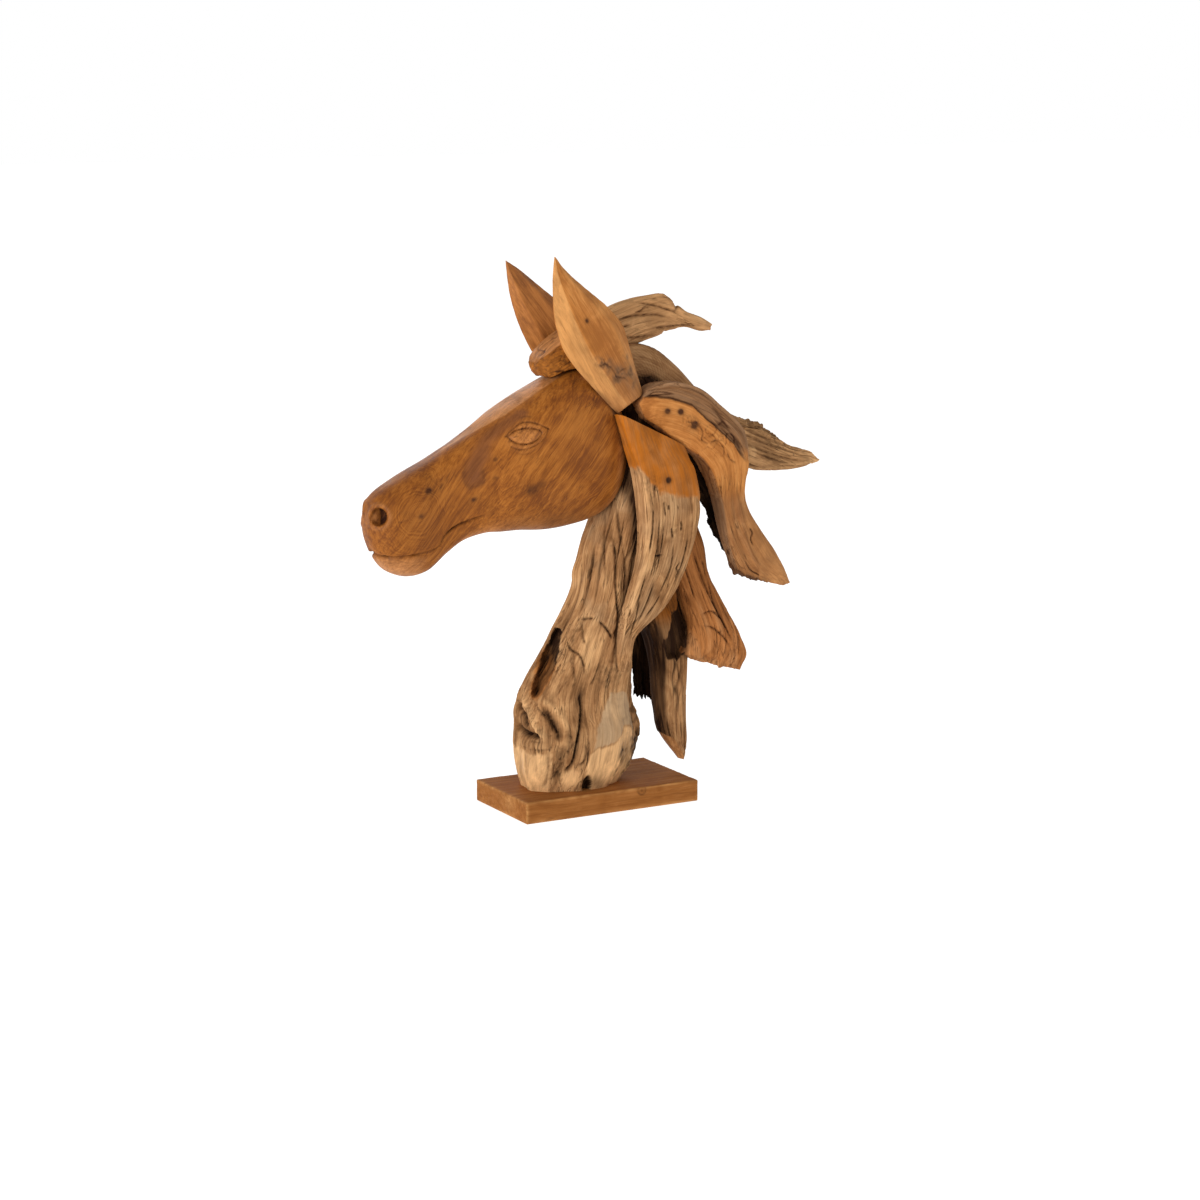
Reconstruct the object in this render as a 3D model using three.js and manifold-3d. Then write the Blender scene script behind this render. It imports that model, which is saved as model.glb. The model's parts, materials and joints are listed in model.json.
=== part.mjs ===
// A horse's head put together from pieces of driftwood, on a plain plank plinth.
// The head and the two ears are carved smooth, and the neck, the neck slabs and the mane locks are
// weathered root wood. Millimetres, +Z up. The origin is the centre of the plinth's underside,
// +X runs along the plinth towards the mane, and the horse looks along -X.
import * as THREE from "three";
import { mergeVertices } from "three/addons/utils/BufferGeometryUtils.js";
import Module from "manifold-3d";

// Driving sizes in millimetres.
const plinthLength = 268;
const plinthDepth = 152;
const plinthThickness = 30;
const plinthBevel = 1.6;
const figureHeight = 729;
const seatGap = 0.4;
const slabThickness = 38;
const lockThickness = 44;
const earThickness = 34;
const nostrilMouth = 25;
const nostrilThroat = 13;
const nostrilDepth = 26;
const mouthGap = 3.2;
const mouthDepth = 6;
const mouthNotch = 11;
const eyeLength = 64;
const eyeHeight = 29;
const eyeLineWidth = 4;
const eyeCornerWidth = 6;
const eyeLineDepth = 4;
const hollowLength = 78;
const hollowWidth = 30;
const hollowDepth = 24;
const spikeHollowLength = 92;
const spikeHollowWidth = 26;
const rootNotchWidth = 15;
const rootNotchHeight = 20;

// The figure is drawn in steps of 1/729 of its height, which are 1 mm at its real size.
const stepCount = 729;
const unit = figureHeight / stepCount;

// Where the carving lies, in those steps: z counts from the top of the plinth, and a lean is in degrees.
const eye = { x: -121, z: 497, lean: 7 };
const mouth = { front: { x: -342, z: 353 }, low: { x: -299, z: 342 }, corner: { x: -247, z: 353 } };
const nostrilAt = { x: -316, y: 31, z: 397 };
const eyeSkew = 0.06;
const nostrilLean = 0.55;
const nostrilSunk = 0.3;
const hollowAt = [-74, -14, 166];
const hollowLean = 35;
const spikeHollowAt = [142, -16, 200];
const spikeHollowLean = 4;
const rootNotchAt = [-30, -60, 0];
const acrossReach = 160;

// How finely the carving tools are faceted, and how close two vertices are to count as one.
const ellipsoidSides = 10;
const ellipsoidRings = 7;
const coneSides = 14;
const curveSteps = 6;
const weldDistance = 1e-3;

// A second wave of flutes runs quicker around the section, weaker, and drifts the other way.
const quickFlute = { share: 0.5, drift: -1.7, phase: 2.3 };
const thinnestHalf = 0.5;

const wasm = await Module();
wasm.setup();

// Each station of a loft is [front x, front z, back x, back z, middle y, half thickness, half twist].
// z counts from the top of the plinth. Front is the edge towards the muzzle, or the upper edge.
// A piece that has a thickness of its own gives half thickness as a share of it.

// The carved head, from the muzzle back: upper edge, lower edge.
const headStations = [
  [-331, 391, -331, 377, 0, 9],
  [-327, 411, -327, 358, 0, 20],
  [-317, 423, -317, 337, 0, 29],
  [-300, 434, -302, 320, 0, 36],
  [-272, 449, -276, 311, 0, 39],
  [-244, 462, -246, 316, 0, 37],
  [-220, 475, -219, 337, 0, 35],
  [-196, 488, -194, 352, 0, 36],
  [-164, 507, -162, 360, 0, 43],
  [-140, 523, -138, 360, 0, 50],
  [-112, 538, -112, 360, 0, 56],
  [-74, 556, -74, 358, 0, 59],
  [-38, 571, -38, 361, 0, 59],
  [-8, 571, -4, 368, 0, 57],
  [19, 548, 20, 380, 0, 51],
  [37, 522, 37, 400, 0, 41],
  [48, 494, 48, 428, 0, 27],
  [53, 470, 53, 450, 0, 10],
];
const headPower = 2.7;
const headPear = -0.1;

// The neck: front edge and back edge, from the plinth up.
const neckStations = [
  [-98, 0, 40, 0, 0, 52],
  [-103, 22, 58, 22, 0, 57],
  [-105, 48, 70, 48, 0, 61],
  [-102, 78, 76, 80, 0, 62],
  [-102, 106, 69, 108, 0, 59],
  [-94, 134, 63, 136, 0, 57],
  [-72, 168, 64, 168, 0, 55],
  [-51, 202, 66, 202, 0, 53],
  [-31, 234, 70, 234, 0, 51],
  [-17, 264, 76, 264, 0, 49],
  [-8, 304, 86, 304, 0, 47],
  [-1, 334, 94, 334, 0, 46],
  [14, 374, 101, 374, 0, 45],
  [28, 424, 110, 424, 0, 43],
  [38, 474, 116, 474, 0, 41],
  [44, 518, 114, 518, 0, 38],
  [50, 546, 106, 546, 0, 32],
  [58, 556, 98, 556, 0, 22],
];

// The slab on the near side of the neck, from its sawn top down.
const nearSlabStations = [
  [12, 515, 112, 466, -62, 0.78],
  [26, 473, 120, 446, -64, 0.94],
  [37, 436, 128, 430, -66, 1],
  [44, 388, 136, 388, -67, 1],
  [46, 352, 132, 356, -67, 0.98],
  [42, 312, 119, 312, -66, 0.95],
  [31, 274, 101, 274, -64, 0.9],
  [21, 240, 79, 244, -62, 0.84],
  [16, 212, 42, 214, -60, 0.72],
  [13, 188, 34, 186, -60, 0.52],
  [15, 162, 26, 160, -60, 0.24],
];

// The slab on the far side, which hangs lower and ends ragged.
const farSlabStations = [
  [20, 508, 110, 470, 60, 0.8],
  [44, 436, 130, 432, 62, 1],
  [54, 374, 146, 372, 62, 1],
  [62, 312, 146, 312, 60, 1],
  [70, 262, 142, 258, 58, 0.94],
  [84, 212, 140, 206, 55, 0.86],
  [94, 166, 138, 160, 52, 0.76],
  [98, 128, 136, 122, 50, 0.62],
  [102, 100, 134, 94, 50, 0.42],
];

// The near ear, from its tip down to its sawn foot, with the front edge first.
const earStations = [
  [-83, 729, -81, 728, -63, 0.07],
  [-85, 702, -66, 711, -62, 0.4],
  [-84, 675, -38, 688, -60, 0.66],
  [-80, 642, -4, 663, -58, 0.86],
  [-67, 606, 22, 637, -56, 1],
  [-46, 578, 33, 613, -54, 1],
  [-19, 551, 43, 584, -52, 1],
  [6, 526, 52, 558, -51, 0.96],
  [20, 514, 59, 538, -50, 0.9],
];

// The far ear, a little lower and further forward.
const farEarStations = [
  [-90, 716, -88, 715, 63, 0.07],
  [-88, 692, -70, 704, 62, 0.4],
  [-84, 665, -42, 682, 60, 0.66],
  [-74, 632, -8, 655, 58, 0.86],
  [-58, 598, 18, 628, 56, 1],
  [-38, 570, 30, 602, 54, 1],
  [-14, 545, 40, 574, 52, 1],
  [8, 522, 50, 548, 51, 0.96],
  [22, 508, 57, 528, 50, 0.9],
];

// The block of the forelock, on the forehead between the ears.
const forelockStations = [
  [-83, 584, -80, 574, 0, 12],
  [-75, 594, -67, 564, 0, 22],
  [-58, 608, -47, 571, 0, 27],
  [-36, 622, -24, 575, 0, 29],
  [-18, 628, -12, 566, 0, 29],
];

// The lock that runs back from the poll, with upper edge first.
const crestStations = [
  [-22, 622, -14, 570, 4, 0.62],
  [20, 645, 27, 584, 4, 0.7],
  [58, 659, 62, 596, 5, 0.68],
  [94, 665, 92, 604, 7, 0.62],
  [121, 666, 118, 611, 9, 0.55],
  [139, 655, 140, 615, 10, 0.42],
  [160, 641, 158, 617, 10, 0.33],
  [184, 632, 181, 611, 10, 0.28],
  [203, 621, 201, 611, 10, 0.16],
];

// The long lock that ends in a point at the back.
const upperStations = [
  [28, 594, 36, 548, 2, 0.7],
  [64, 604, 70, 536, 2, 0.92],
  [100, 596, 96, 522, 2, 1],
  [138, 568, 130, 498, 2, 1],
  [178, 529, 168, 466, 2, 0.95],
  [230, 495, 212, 436, 2, 0.86],
  [266, 483, 250, 420, 2, 0.74],
  [286, 471, 278, 413, 3, 0.64],
  [326, 445, 318, 410, 4, 0.48],
  [360, 435, 350, 412, 5, 0.3],
  [380, 422, 376, 417, 5, 0.1],
];

// The kneed lock on the near side.
const kneeStations = [
  [47, 529, 58, 505, -50, 0.6],
  [64, 547, 78, 492, -52, 0.95],
  [98, 553, 98, 476, -54, 1],
  [138, 542, 126, 458, -55, 1],
  [172, 516, 142, 446, -56, 1],
  [209, 482, 156, 424, -56, 0.96],
  [217, 442, 165, 402, -56, 0.86],
  [211, 404, 172, 382, -56, 0.8],
  [216, 376, 180, 345, -57, 0.8],
  [236, 344, 190, 312, -58, 0.78],
  [260, 312, 204, 284, -58, 0.72],
  [278, 284, 238, 270, -58, 0.5],
  [290, 262, 278, 258, -58, 0.2],
];

// The dark flake of bark behind the kneed lock.
const barkStations = [
  [84, 500, 140, 515, -16, 0.5],
  [118, 456, 182, 470, -18, 0.6],
  [150, 410, 212, 420, -20, 0.62],
  [176, 368, 232, 376, -22, 0.58],
  [186, 338, 248, 336, -24, 0.5],
  [210, 302, 256, 300, -26, 0.36],
  [232, 282, 248, 282, -27, 0.16],
];

// The red lock that spreads into a foot behind the slab.
const footStations = [
  [82, 404, 134, 400, -8, 0.72],
  [96, 368, 156, 366, -8, 0.84],
  [112, 322, 177, 322, -8, 0.88],
  [128, 282, 184, 281, -9, 0.9],
  [142, 245, 201, 246, -10, 0.92],
  [152, 212, 220, 213, -10, 0.92],
  [153, 188, 235, 185, -10, 0.9],
  [144, 168, 246, 158, -10, 0.82],
  [150, 160, 238, 134, -10, 0.58],
];

// The spike that hangs down behind the neck.
const spikeStations = [
  [52, 300, 118, 304, 8, 0.8],
  [64, 262, 146, 262, 8, 0.98],
  [84, 222, 158, 222, 7, 1],
  [101, 184, 160, 186, 6, 1],
  [107, 150, 159, 152, 5, 0.95],
  [109, 112, 157, 116, 4, 0.86],
  [113, 76, 156, 78, 3, 0.78],
  [122, 48, 157, 36, 2, 0.66],
  [147, 13, 156, 10, 2, 0.12],
];

// A point of the figure in millimetres, with z from the plinth's underside.
function place(x, y, z) {
  return new THREE.Vector3(x * unit, y * unit, z * unit + plinthThickness);
}

// One value of a table of stations at t, on the same curve as THREE.CatmullRomCurve3 gives.
function curveValue(values, t) {
  const span = Math.min(Math.floor(t), values.length - 2);
  const s = t - span;
  const from = values[span];
  const to = values[span + 1];
  const before = span > 0 ? values[span - 1] : 2 * from - to;
  const after = span + 2 < values.length ? values[span + 2] : 2 * to - from;
  const slopeFrom = (to - before) / 2;
  const slopeTo = (after - from) / 2;
  const bend = 2 * (from - to) + slopeFrom + slopeTo;
  return from + slopeFrom * s + (3 * (to - from) - 2 * slopeFrom - slopeTo) * s * s + bend * s ** 3;
}

// The station at t as an object, in millimetres, with z from the plinth's underside.
function stationAt(stations, t, thickness) {
  const value = (k) => curveValue(stations.map((station) => station[k] ?? 0), t);
  const half = value(5) * (thickness ? thickness / 2 : unit);
  const twist = value(6) * unit;
  const front = place(value(0), value(4), value(1));
  const back = place(value(2), value(4), value(3));
  front.y -= twist;
  back.y += twist;
  return { front, back, half: Math.max(half, thinnestHalf) };
}

// Points around a section, in shares of its half width and half thickness.
function roundSection(sides, power, pear = 0) {
  return Array.from({ length: sides }, (_, i) => {
    const turn = (2 * Math.PI * i) / sides;
    const across = Math.sign(Math.cos(turn)) * Math.abs(Math.cos(turn)) ** (2 / power);
    const through = Math.sign(Math.sin(turn)) * Math.abs(Math.sin(turn)) ** (2 / power);
    return [across, through * (1 + pear * across)];
  });
}

function corneredSection(corners, each) {
  return corners.flatMap(([across, through], i) => {
    const [nextAcross, nextThrough] = corners[(i + 1) % corners.length];
    return Array.from({ length: each }, (_, k) => [
      across + ((nextAcross - across) * k) / each,
      through + ((nextThrough - through) * k) / each,
    ]);
  });
}

// Weathered wood is fluted along its length: the share by which the surface stands in or out.
function flute(turn, t, { count, depth, drift, seed }) {
  const slow = Math.sin(count * turn + drift * t + seed);
  const quick = Math.sin((2 * count + 1) * turn + quickFlute.drift * drift * t + quickFlute.phase * seed);
  return depth * (slow + quickFlute.share * quick);
}

// A closed solid through the stations, as a BufferGeometry. grow moves the whole surface outwards.
function loft(stations, { section, steps, thickness, flutes, grow = 0 }) {
  const rows = (stations.length - 1) * steps + 1;
  const made = Array.from({ length: rows }, (_, i) => stationAt(stations, i / steps, thickness));
  const middles = made.map(({ front, back }) => front.clone().add(back).multiplyScalar(0.5));
  const positions = [];
  made.forEach(({ front, back, half }, i) => {
    const tangent = middles[Math.min(i + 1, rows - 1)].clone().sub(middles[Math.max(i - 1, 0)]).normalize();
    const across = back.clone().sub(front).multiplyScalar(0.5);
    const through = tangent.clone().cross(across).normalize();
    if (through.y > 0) through.negate();
    const width = across.length();
    across.multiplyScalar((width + grow) / width);
    const end = i === 0 ? -grow : i === rows - 1 ? grow : 0;
    const middle = middles[i].clone().addScaledVector(tangent, end);
    section.forEach(([a, b], k) => {
      const ripple = flutes ? 1 + flute((2 * Math.PI * k) / section.length, i / steps, flutes) : 1;
      positions.push(
        ...middle
          .clone()
          .addScaledVector(across, a * ripple)
          .addScaledVector(through, (half + grow) * b * ripple)
          .toArray(),
      );
    });
  });
  const around = section.length;
  const index = [];
  for (let i = 0; i < rows - 1; i += 1) {
    for (let k = 0; k < around; k += 1) {
      const a = i * around + k;
      const b = i * around + ((k + 1) % around);
      index.push(a, b, a + around, b, b + around, a + around);
    }
  }
  for (const [row, flip] of [[0, true], [rows - 1, false]]) {
    const hub = positions.length / 3;
    for (let c = 0; c < 3; c += 1) {
      let sum = 0;
      for (let k = 0; k < around; k += 1) sum += positions[3 * (row * around + k) + c];
      positions.push(sum / around);
    }
    for (let k = 0; k < around; k += 1) {
      const a = row * around + k;
      const b = row * around + ((k + 1) % around);
      index.push(...(flip ? [b, a, hub] : [a, b, hub]));
    }
  }
  const geometry = new THREE.BufferGeometry();
  geometry.setAttribute("position", new THREE.Float32BufferAttribute(positions, 3));
  geometry.setIndex(index);
  return geometry;
}

// A geometry's indexed triangles as a manifold solid, with its faces turned outwards.
function toSolid(geometry) {
  const vertProperties = new Float32Array(geometry.attributes.position.array);
  const triVerts = new Uint32Array(geometry.index.array);
  const corner = (i) => new THREE.Vector3().fromArray(vertProperties, 3 * triVerts[i]);
  let volume = 0;
  for (let i = 0; i < triVerts.length; i += 3) {
    volume += corner(i).dot(corner(i + 1).cross(corner(i + 2)));
  }
  if (volume < 0) {
    for (let i = 0; i < triVerts.length; i += 3) {
      [triVerts[i + 1], triVerts[i + 2]] = [triVerts[i + 2], triVerts[i + 1]];
    }
  }
  return new wasm.Manifold(new wasm.Mesh({ numProp: 3, vertProperties, triVerts }));
}

// A three.js geometry with repeated vertices, moved by a matrix, as a manifold solid.
function toolSolid(geometry, matrix) {
  const bare = geometry.clone().applyMatrix4(matrix);
  bare.deleteAttribute("normal");
  bare.deleteAttribute("uv");
  return toSolid(mergeVertices(bare, weldDistance));
}

function toGeometry(solid) {
  const { vertProperties, triVerts, numProp } = solid.getMesh();
  const positions = [];
  for (let i = 0; i < vertProperties.length; i += numProp) {
    positions.push(...vertProperties.subarray(i, i + 3));
  }
  const geometry = new THREE.BufferGeometry();
  geometry.setAttribute("position", new THREE.Float32BufferAttribute(positions, 3));
  geometry.setIndex([...triVerts]);
  geometry.computeVertexNormals();
  return geometry;
}

// The largest body that a cut leaves: a shaving on the far side of a neighbour is thrown away.
function largest(solid) {
  return solid.decompose().sort((a, b) => b.volume() - a.volume())[0];
}

const carvedTeak = { color: 0xa86a36, roughness: 0.5, metalness: 0 };
const plankTeak = { color: 0x8f5a2e, roughness: 0.6, metalness: 0 };
const sawnTeak = { color: 0xc48a4c, roughness: 0.62, metalness: 0 };
const weatheredWood = { color: 0xa9855a, roughness: 0.88, metalness: 0 };
const redWood = { color: 0xa8693a, roughness: 0.8, metalness: 0 };
const barkWood = { color: 0x4a3524, roughness: 0.95, metalness: 0 };

// The ear is a folded leaf: its ridge stands near the front edge, and its inner side is flat.
const earCorners = [[-1, 0.05], [-0.42, 1], [0.62, 0.62], [1, 0.05], [0.55, -0.55], [-0.5, -0.75]];

const forms = {
  head: { stations: headStations, section: roundSection(24, headPower, headPear), steps: 2 },
  neck: {
    stations: neckStations,
    section: roundSection(24, 2.2),
    steps: 1,
    flutes: { count: 5, depth: 0.035, drift: 0.35, seed: 0.6 },
  },
  neck_slab_near: {
    stations: nearSlabStations,
    section: roundSection(14, 3.2),
    steps: 2,
    thickness: slabThickness,
    flutes: { count: 3, depth: 0.02, drift: 0.5, seed: 1.9 },
  },
  neck_slab_far: {
    stations: farSlabStations,
    section: roundSection(12, 2.6),
    steps: 1,
    thickness: slabThickness,
    flutes: { count: 3, depth: 0.03, drift: 0.7, seed: 0.4 },
  },
  ear_near: {
    stations: earStations,
    section: corneredSection(earCorners, 2),
    steps: 2,
    thickness: earThickness,
  },
  forelock: { stations: forelockStations, section: roundSection(12, 3.4), steps: 1 },
  crest_lock: {
    stations: crestStations,
    section: roundSection(12, 2.6),
    steps: 2,
    thickness: lockThickness,
    flutes: { count: 3, depth: 0.035, drift: 0.8, seed: 2.6 },
  },
  upper_lock: {
    stations: upperStations,
    section: roundSection(14, 2.5),
    steps: 2,
    thickness: lockThickness,
    flutes: { count: 3, depth: 0.03, drift: 0.4, seed: 0.9 },
  },
  kneed_lock: {
    stations: kneeStations,
    section: roundSection(12, 3.2),
    steps: 2,
    thickness: lockThickness,
    flutes: { count: 2, depth: 0.03, drift: 0.5, seed: 1.2 },
  },
  bark_flake: {
    stations: barkStations,
    section: roundSection(10, 2.8),
    steps: 1,
    thickness: lockThickness,
    flutes: { count: 3, depth: 0.05, drift: 1.3, seed: 0.2 },
  },
  foot_lock: {
    stations: footStations,
    section: roundSection(12, 2.6),
    steps: 2,
    thickness: lockThickness,
    flutes: { count: 2, depth: 0.03, drift: 0.6, seed: 2.1 },
  },
  spike_lock: {
    stations: spikeStations,
    section: roundSection(12, 2.4),
    steps: 2,
    thickness: lockThickness,
    flutes: { count: 3, depth: 0.025, drift: 0.5, seed: 1.5 },
  },
};
forms.ear_far = {
  ...forms.ear_near,
  stations: farEarStations,
  section: forms.ear_near.section.map(([across, through]) => [across, -through]),
};

// A piece as it was before fitting. grow moves its surface outwards, to cut its neighbours clear of it.
function blank(name, grow = 0) {
  return toSolid(loft(forms[name].stations, { ...forms[name], grow }));
}

// An ellipsoid tool: where, its half lengths, and its lean about Y in degrees.
function ellipsoid(at, [x, y, z], lean) {
  const upright = new THREE.Vector3(0, 1, 0);
  const turn = new THREE.Quaternion().setFromAxisAngle(upright, THREE.MathUtils.degToRad(lean));
  const matrix = new THREE.Matrix4().compose(at, turn, new THREE.Vector3(x, y, z));
  return toolSolid(new THREE.SphereGeometry(1, ellipsoidSides, ellipsoidRings), matrix);
}

// An outline in x and z, extruded across the whole figure along Y.
function acrossHead(outline, at, lean) {
  const reach = acrossReach * unit;
  const geometry = new THREE.ExtrudeGeometry(outline, {
    depth: reach,
    bevelEnabled: false,
    curveSegments: curveSteps,
  });
  const matrix = new THREE.Matrix4()
    .makeTranslation(at.x, at.y + reach / 2, at.z)
    .multiply(new THREE.Matrix4().makeRotationY(-THREE.MathUtils.degToRad(lean)))
    .multiply(new THREE.Matrix4().makeRotationX(Math.PI / 2));
  return toolSolid(geometry, matrix);
}

function almond(length, height) {
  const outline = new THREE.Shape();
  outline.moveTo(-length / 2, 0);
  outline.quadraticCurveTo(-length * eyeSkew, height, length / 2, 0);
  outline.quadraticCurveTo(length * eyeSkew, -height, -length / 2, 0);
  return outline;
}

// The incised line around each eye.
function eyeLines() {
  const at = place(eye.x, 0, eye.z);
  const rim = acrossHead(almond(eyeLength, eyeHeight), at, eye.lean);
  const inner = almond(eyeLength - 2 * eyeCornerWidth, eyeHeight - 2 * eyeLineWidth);
  const ball = acrossHead(inner, at, eye.lean);
  return rim.subtract(ball).subtract(blank("head", -eyeLineDepth));
}

// The cut between the lips: a notch at the front that narrows to a line and curves up to the corner.
function mouthLine() {
  const { front, low, corner } = mouth;
  const dip = (low.z - front.z) * unit;
  const [run, reach] = [(low.x - front.x) * unit, (corner.x - front.x) * unit];
  const rise = (corner.z - front.z) * unit;
  const half = mouthGap / 2;
  const outline = new THREE.Shape();
  outline.moveTo(0, mouthNotch / 2);
  outline.quadraticCurveTo(run / 2, dip + half, run, dip + half);
  outline.quadraticCurveTo((run + reach) / 2, dip + half, reach, rise);
  outline.quadraticCurveTo((run + reach) / 2, dip - half, run, dip - half);
  outline.quadraticCurveTo(run / 2, dip - half, 0, -mouthNotch / 2);
  return acrossHead(outline, place(front.x, 0, front.z), 0).subtract(blank("head", -mouthDepth));
}

// A nostril: a cone that narrows as it runs inwards and back. side is -1 on the near side.
function nostril(side) {
  const cone = new THREE.CylinderGeometry(nostrilThroat / 2, nostrilMouth / 2, nostrilDepth, coneSides);
  const inwards = new THREE.Vector3(nostrilLean, -side, 0).normalize();
  const turn = new THREE.Quaternion().setFromUnitVectors(new THREE.Vector3(0, 1, 0), inwards);
  const at = place(nostrilAt.x, side * nostrilAt.y, nostrilAt.z);
  at.addScaledVector(inwards, nostrilDepth * nostrilSunk);
  return toolSolid(cone, new THREE.Matrix4().compose(at, turn, new THREE.Vector3(1, 1, 1)));
}

function carvedHead() {
  const cuts = [eyeLines(), mouthLine(), nostril(-1), nostril(1)];
  return largest(cuts.reduce((head, cut) => head.subtract(cut), blank("head")));
}

// The neck stands on the plinth, with a rotted hollow in front and a notch between its roots.
function carvedNeck() {
  const hollowHalf = [hollowDepth, hollowWidth / 2, hollowLength / 2];
  const notchHalf = [rootNotchWidth / 2, rootNotchWidth, rootNotchHeight];
  const hollow = ellipsoid(place(...hollowAt), hollowHalf, hollowLean);
  const notch = ellipsoid(place(...rootNotchAt), notchHalf, 0);
  return largest(blank("neck").subtract(blank("head", seatGap)).subtract(hollow).subtract(notch));
}

function spikeHollow() {
  const half = [spikeHollowWidth / 2, lockThickness / 2, spikeHollowLength / 2];
  return ellipsoid(place(...spikeHollowAt), half, spikeHollowLean);
}

// Each remaining piece is fitted against those that are already in place.
const fits = {
  neck_slab_near: ["head", "neck"],
  neck_slab_far: ["head", "neck"],
  ear_near: ["head", "neck", "neck_slab_near"],
  ear_far: ["head", "neck", "neck_slab_far"],
  forelock: ["head", "ear_near", "ear_far"],
  crest_lock: ["head", "neck", "ear_near", "ear_far", "forelock"],
  upper_lock: ["head", "neck", "neck_slab_near", "neck_slab_far", "ear_near", "ear_far", "crest_lock"],
  kneed_lock: ["head", "neck", "neck_slab_near", "ear_near", "upper_lock", "crest_lock"],
  bark_flake: ["neck", "neck_slab_near", "neck_slab_far", "upper_lock", "kneed_lock"],
  foot_lock: ["neck", "neck_slab_near", "neck_slab_far", "bark_flake", "kneed_lock"],
  spike_lock: ["neck", "neck_slab_near", "neck_slab_far", "foot_lock"],
};

function fitted(name) {
  const neighbours = fits[name].map((neighbour) => blank(neighbour, seatGap));
  const cut = neighbours.reduce((solid, neighbour) => solid.subtract(neighbour), blank(name));
  return largest(name === "spike_lock" ? cut.subtract(spikeHollow()) : cut);
}

const finishes = {
  head: carvedTeak,
  neck: weatheredWood,
  neck_slab_near: weatheredWood,
  neck_slab_far: barkWood,
  ear_near: sawnTeak,
  ear_far: carvedTeak,
  forelock: carvedTeak,
  crest_lock: weatheredWood,
  upper_lock: weatheredWood,
  kneed_lock: sawnTeak,
  bark_flake: barkWood,
  foot_lock: redWood,
  spike_lock: weatheredWood,
};

function addPiece(group, name, geometry, finish) {
  const mesh = new THREE.Mesh(geometry, new THREE.MeshStandardMaterial(finish));
  mesh.name = name;
  group.add(mesh);
}

function plinthGeometry() {
  const x = plinthLength / 2 - plinthBevel;
  const y = plinthDepth / 2 - plinthBevel;
  const corners = [[-x, -y], [x, -y], [x, y], [-x, y]];
  const outline = new THREE.Shape(corners.map(([a, b]) => new THREE.Vector2(a, b)));
  const plank = new THREE.ExtrudeGeometry(outline, {
    depth: plinthThickness - 2 * plinthBevel,
    bevelThickness: plinthBevel,
    bevelSize: plinthBevel,
    bevelSegments: 1,
  });
  return plank.translate(0, 0, plinthBevel);
}

const sculpture = new THREE.Group();
addPiece(sculpture, "plinth", plinthGeometry(), plankTeak);
addPiece(sculpture, "head", toGeometry(carvedHead()), finishes.head);
addPiece(sculpture, "neck", toGeometry(carvedNeck()), finishes.neck);
for (const name of Object.keys(fits)) {
  addPiece(sculpture, name, toGeometry(fitted(name)), finishes[name]);
}

export default sculpture;
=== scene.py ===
# Dresses the driftwood horse head: a carved teak head and ears, a weathered root neck, mane locks
# and a plank plinth. Metres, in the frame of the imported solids. Each piece is drawn again through
# the stations of its solid, finely enough to hold its grooves, cracks, knots and carved lines.
import json
import math

import bmesh
import bpy
import numpy as np
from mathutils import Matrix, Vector

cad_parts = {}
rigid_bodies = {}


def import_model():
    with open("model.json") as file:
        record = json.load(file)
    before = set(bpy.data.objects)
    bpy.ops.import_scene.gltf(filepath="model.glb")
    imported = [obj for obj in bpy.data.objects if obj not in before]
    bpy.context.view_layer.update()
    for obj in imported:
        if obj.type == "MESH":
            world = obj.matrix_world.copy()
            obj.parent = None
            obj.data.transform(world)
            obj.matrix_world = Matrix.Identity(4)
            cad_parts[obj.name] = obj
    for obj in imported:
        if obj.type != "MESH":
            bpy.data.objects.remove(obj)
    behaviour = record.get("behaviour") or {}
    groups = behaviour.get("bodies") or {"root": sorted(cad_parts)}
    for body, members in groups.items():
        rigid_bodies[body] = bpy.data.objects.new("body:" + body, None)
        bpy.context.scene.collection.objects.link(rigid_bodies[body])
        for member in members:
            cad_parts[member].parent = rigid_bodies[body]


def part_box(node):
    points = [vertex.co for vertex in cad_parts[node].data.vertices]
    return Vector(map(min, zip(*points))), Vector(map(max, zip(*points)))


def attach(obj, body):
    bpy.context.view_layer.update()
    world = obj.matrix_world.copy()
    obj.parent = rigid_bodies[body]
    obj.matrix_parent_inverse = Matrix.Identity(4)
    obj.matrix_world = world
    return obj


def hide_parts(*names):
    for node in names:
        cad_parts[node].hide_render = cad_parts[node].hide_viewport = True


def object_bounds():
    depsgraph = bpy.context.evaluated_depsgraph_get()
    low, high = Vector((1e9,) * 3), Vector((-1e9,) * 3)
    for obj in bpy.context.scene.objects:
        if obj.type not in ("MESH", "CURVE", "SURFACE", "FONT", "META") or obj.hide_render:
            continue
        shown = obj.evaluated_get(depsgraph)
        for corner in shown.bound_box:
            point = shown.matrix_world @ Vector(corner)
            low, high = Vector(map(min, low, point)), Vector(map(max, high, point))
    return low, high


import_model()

cad_box = [list(corner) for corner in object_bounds()]

MM = 0.001
STEP_COUNT = 729
plinth_low, plinth_high = (np.array(corner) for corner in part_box("plinth"))
STEP = (cad_box[1][2] - plinth_high[2]) / STEP_COUNT
SLAB_THICKNESS = 38 * MM
LOCK_THICKNESS = 44 * MM
EAR_THICKNESS = 34 * MM
THINNEST_HALF = 0.5 * MM
MARKS = ("dark", "pale", "grey", "warm", "rough")
RING_SPACING = 5.0 * MM
FAR_SLAB_SUNK = 3.0 * MM
FRAYED_END = 14 * MM
BOX_MARGIN = 0.1 * MM
SHARP_ANGLE = math.radians(50)
# Rows looked at between two stations, the smallest ring of a closed end as a share of the section,
# how far the grain runs on over an end, and where the log's pith lies beside a piece.
FINE_ROWS = 60
SMALLEST_RING = 0.04
END_GRAIN = 4 * MM
PITH = (11 * MM, 52 * MM)
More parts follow.
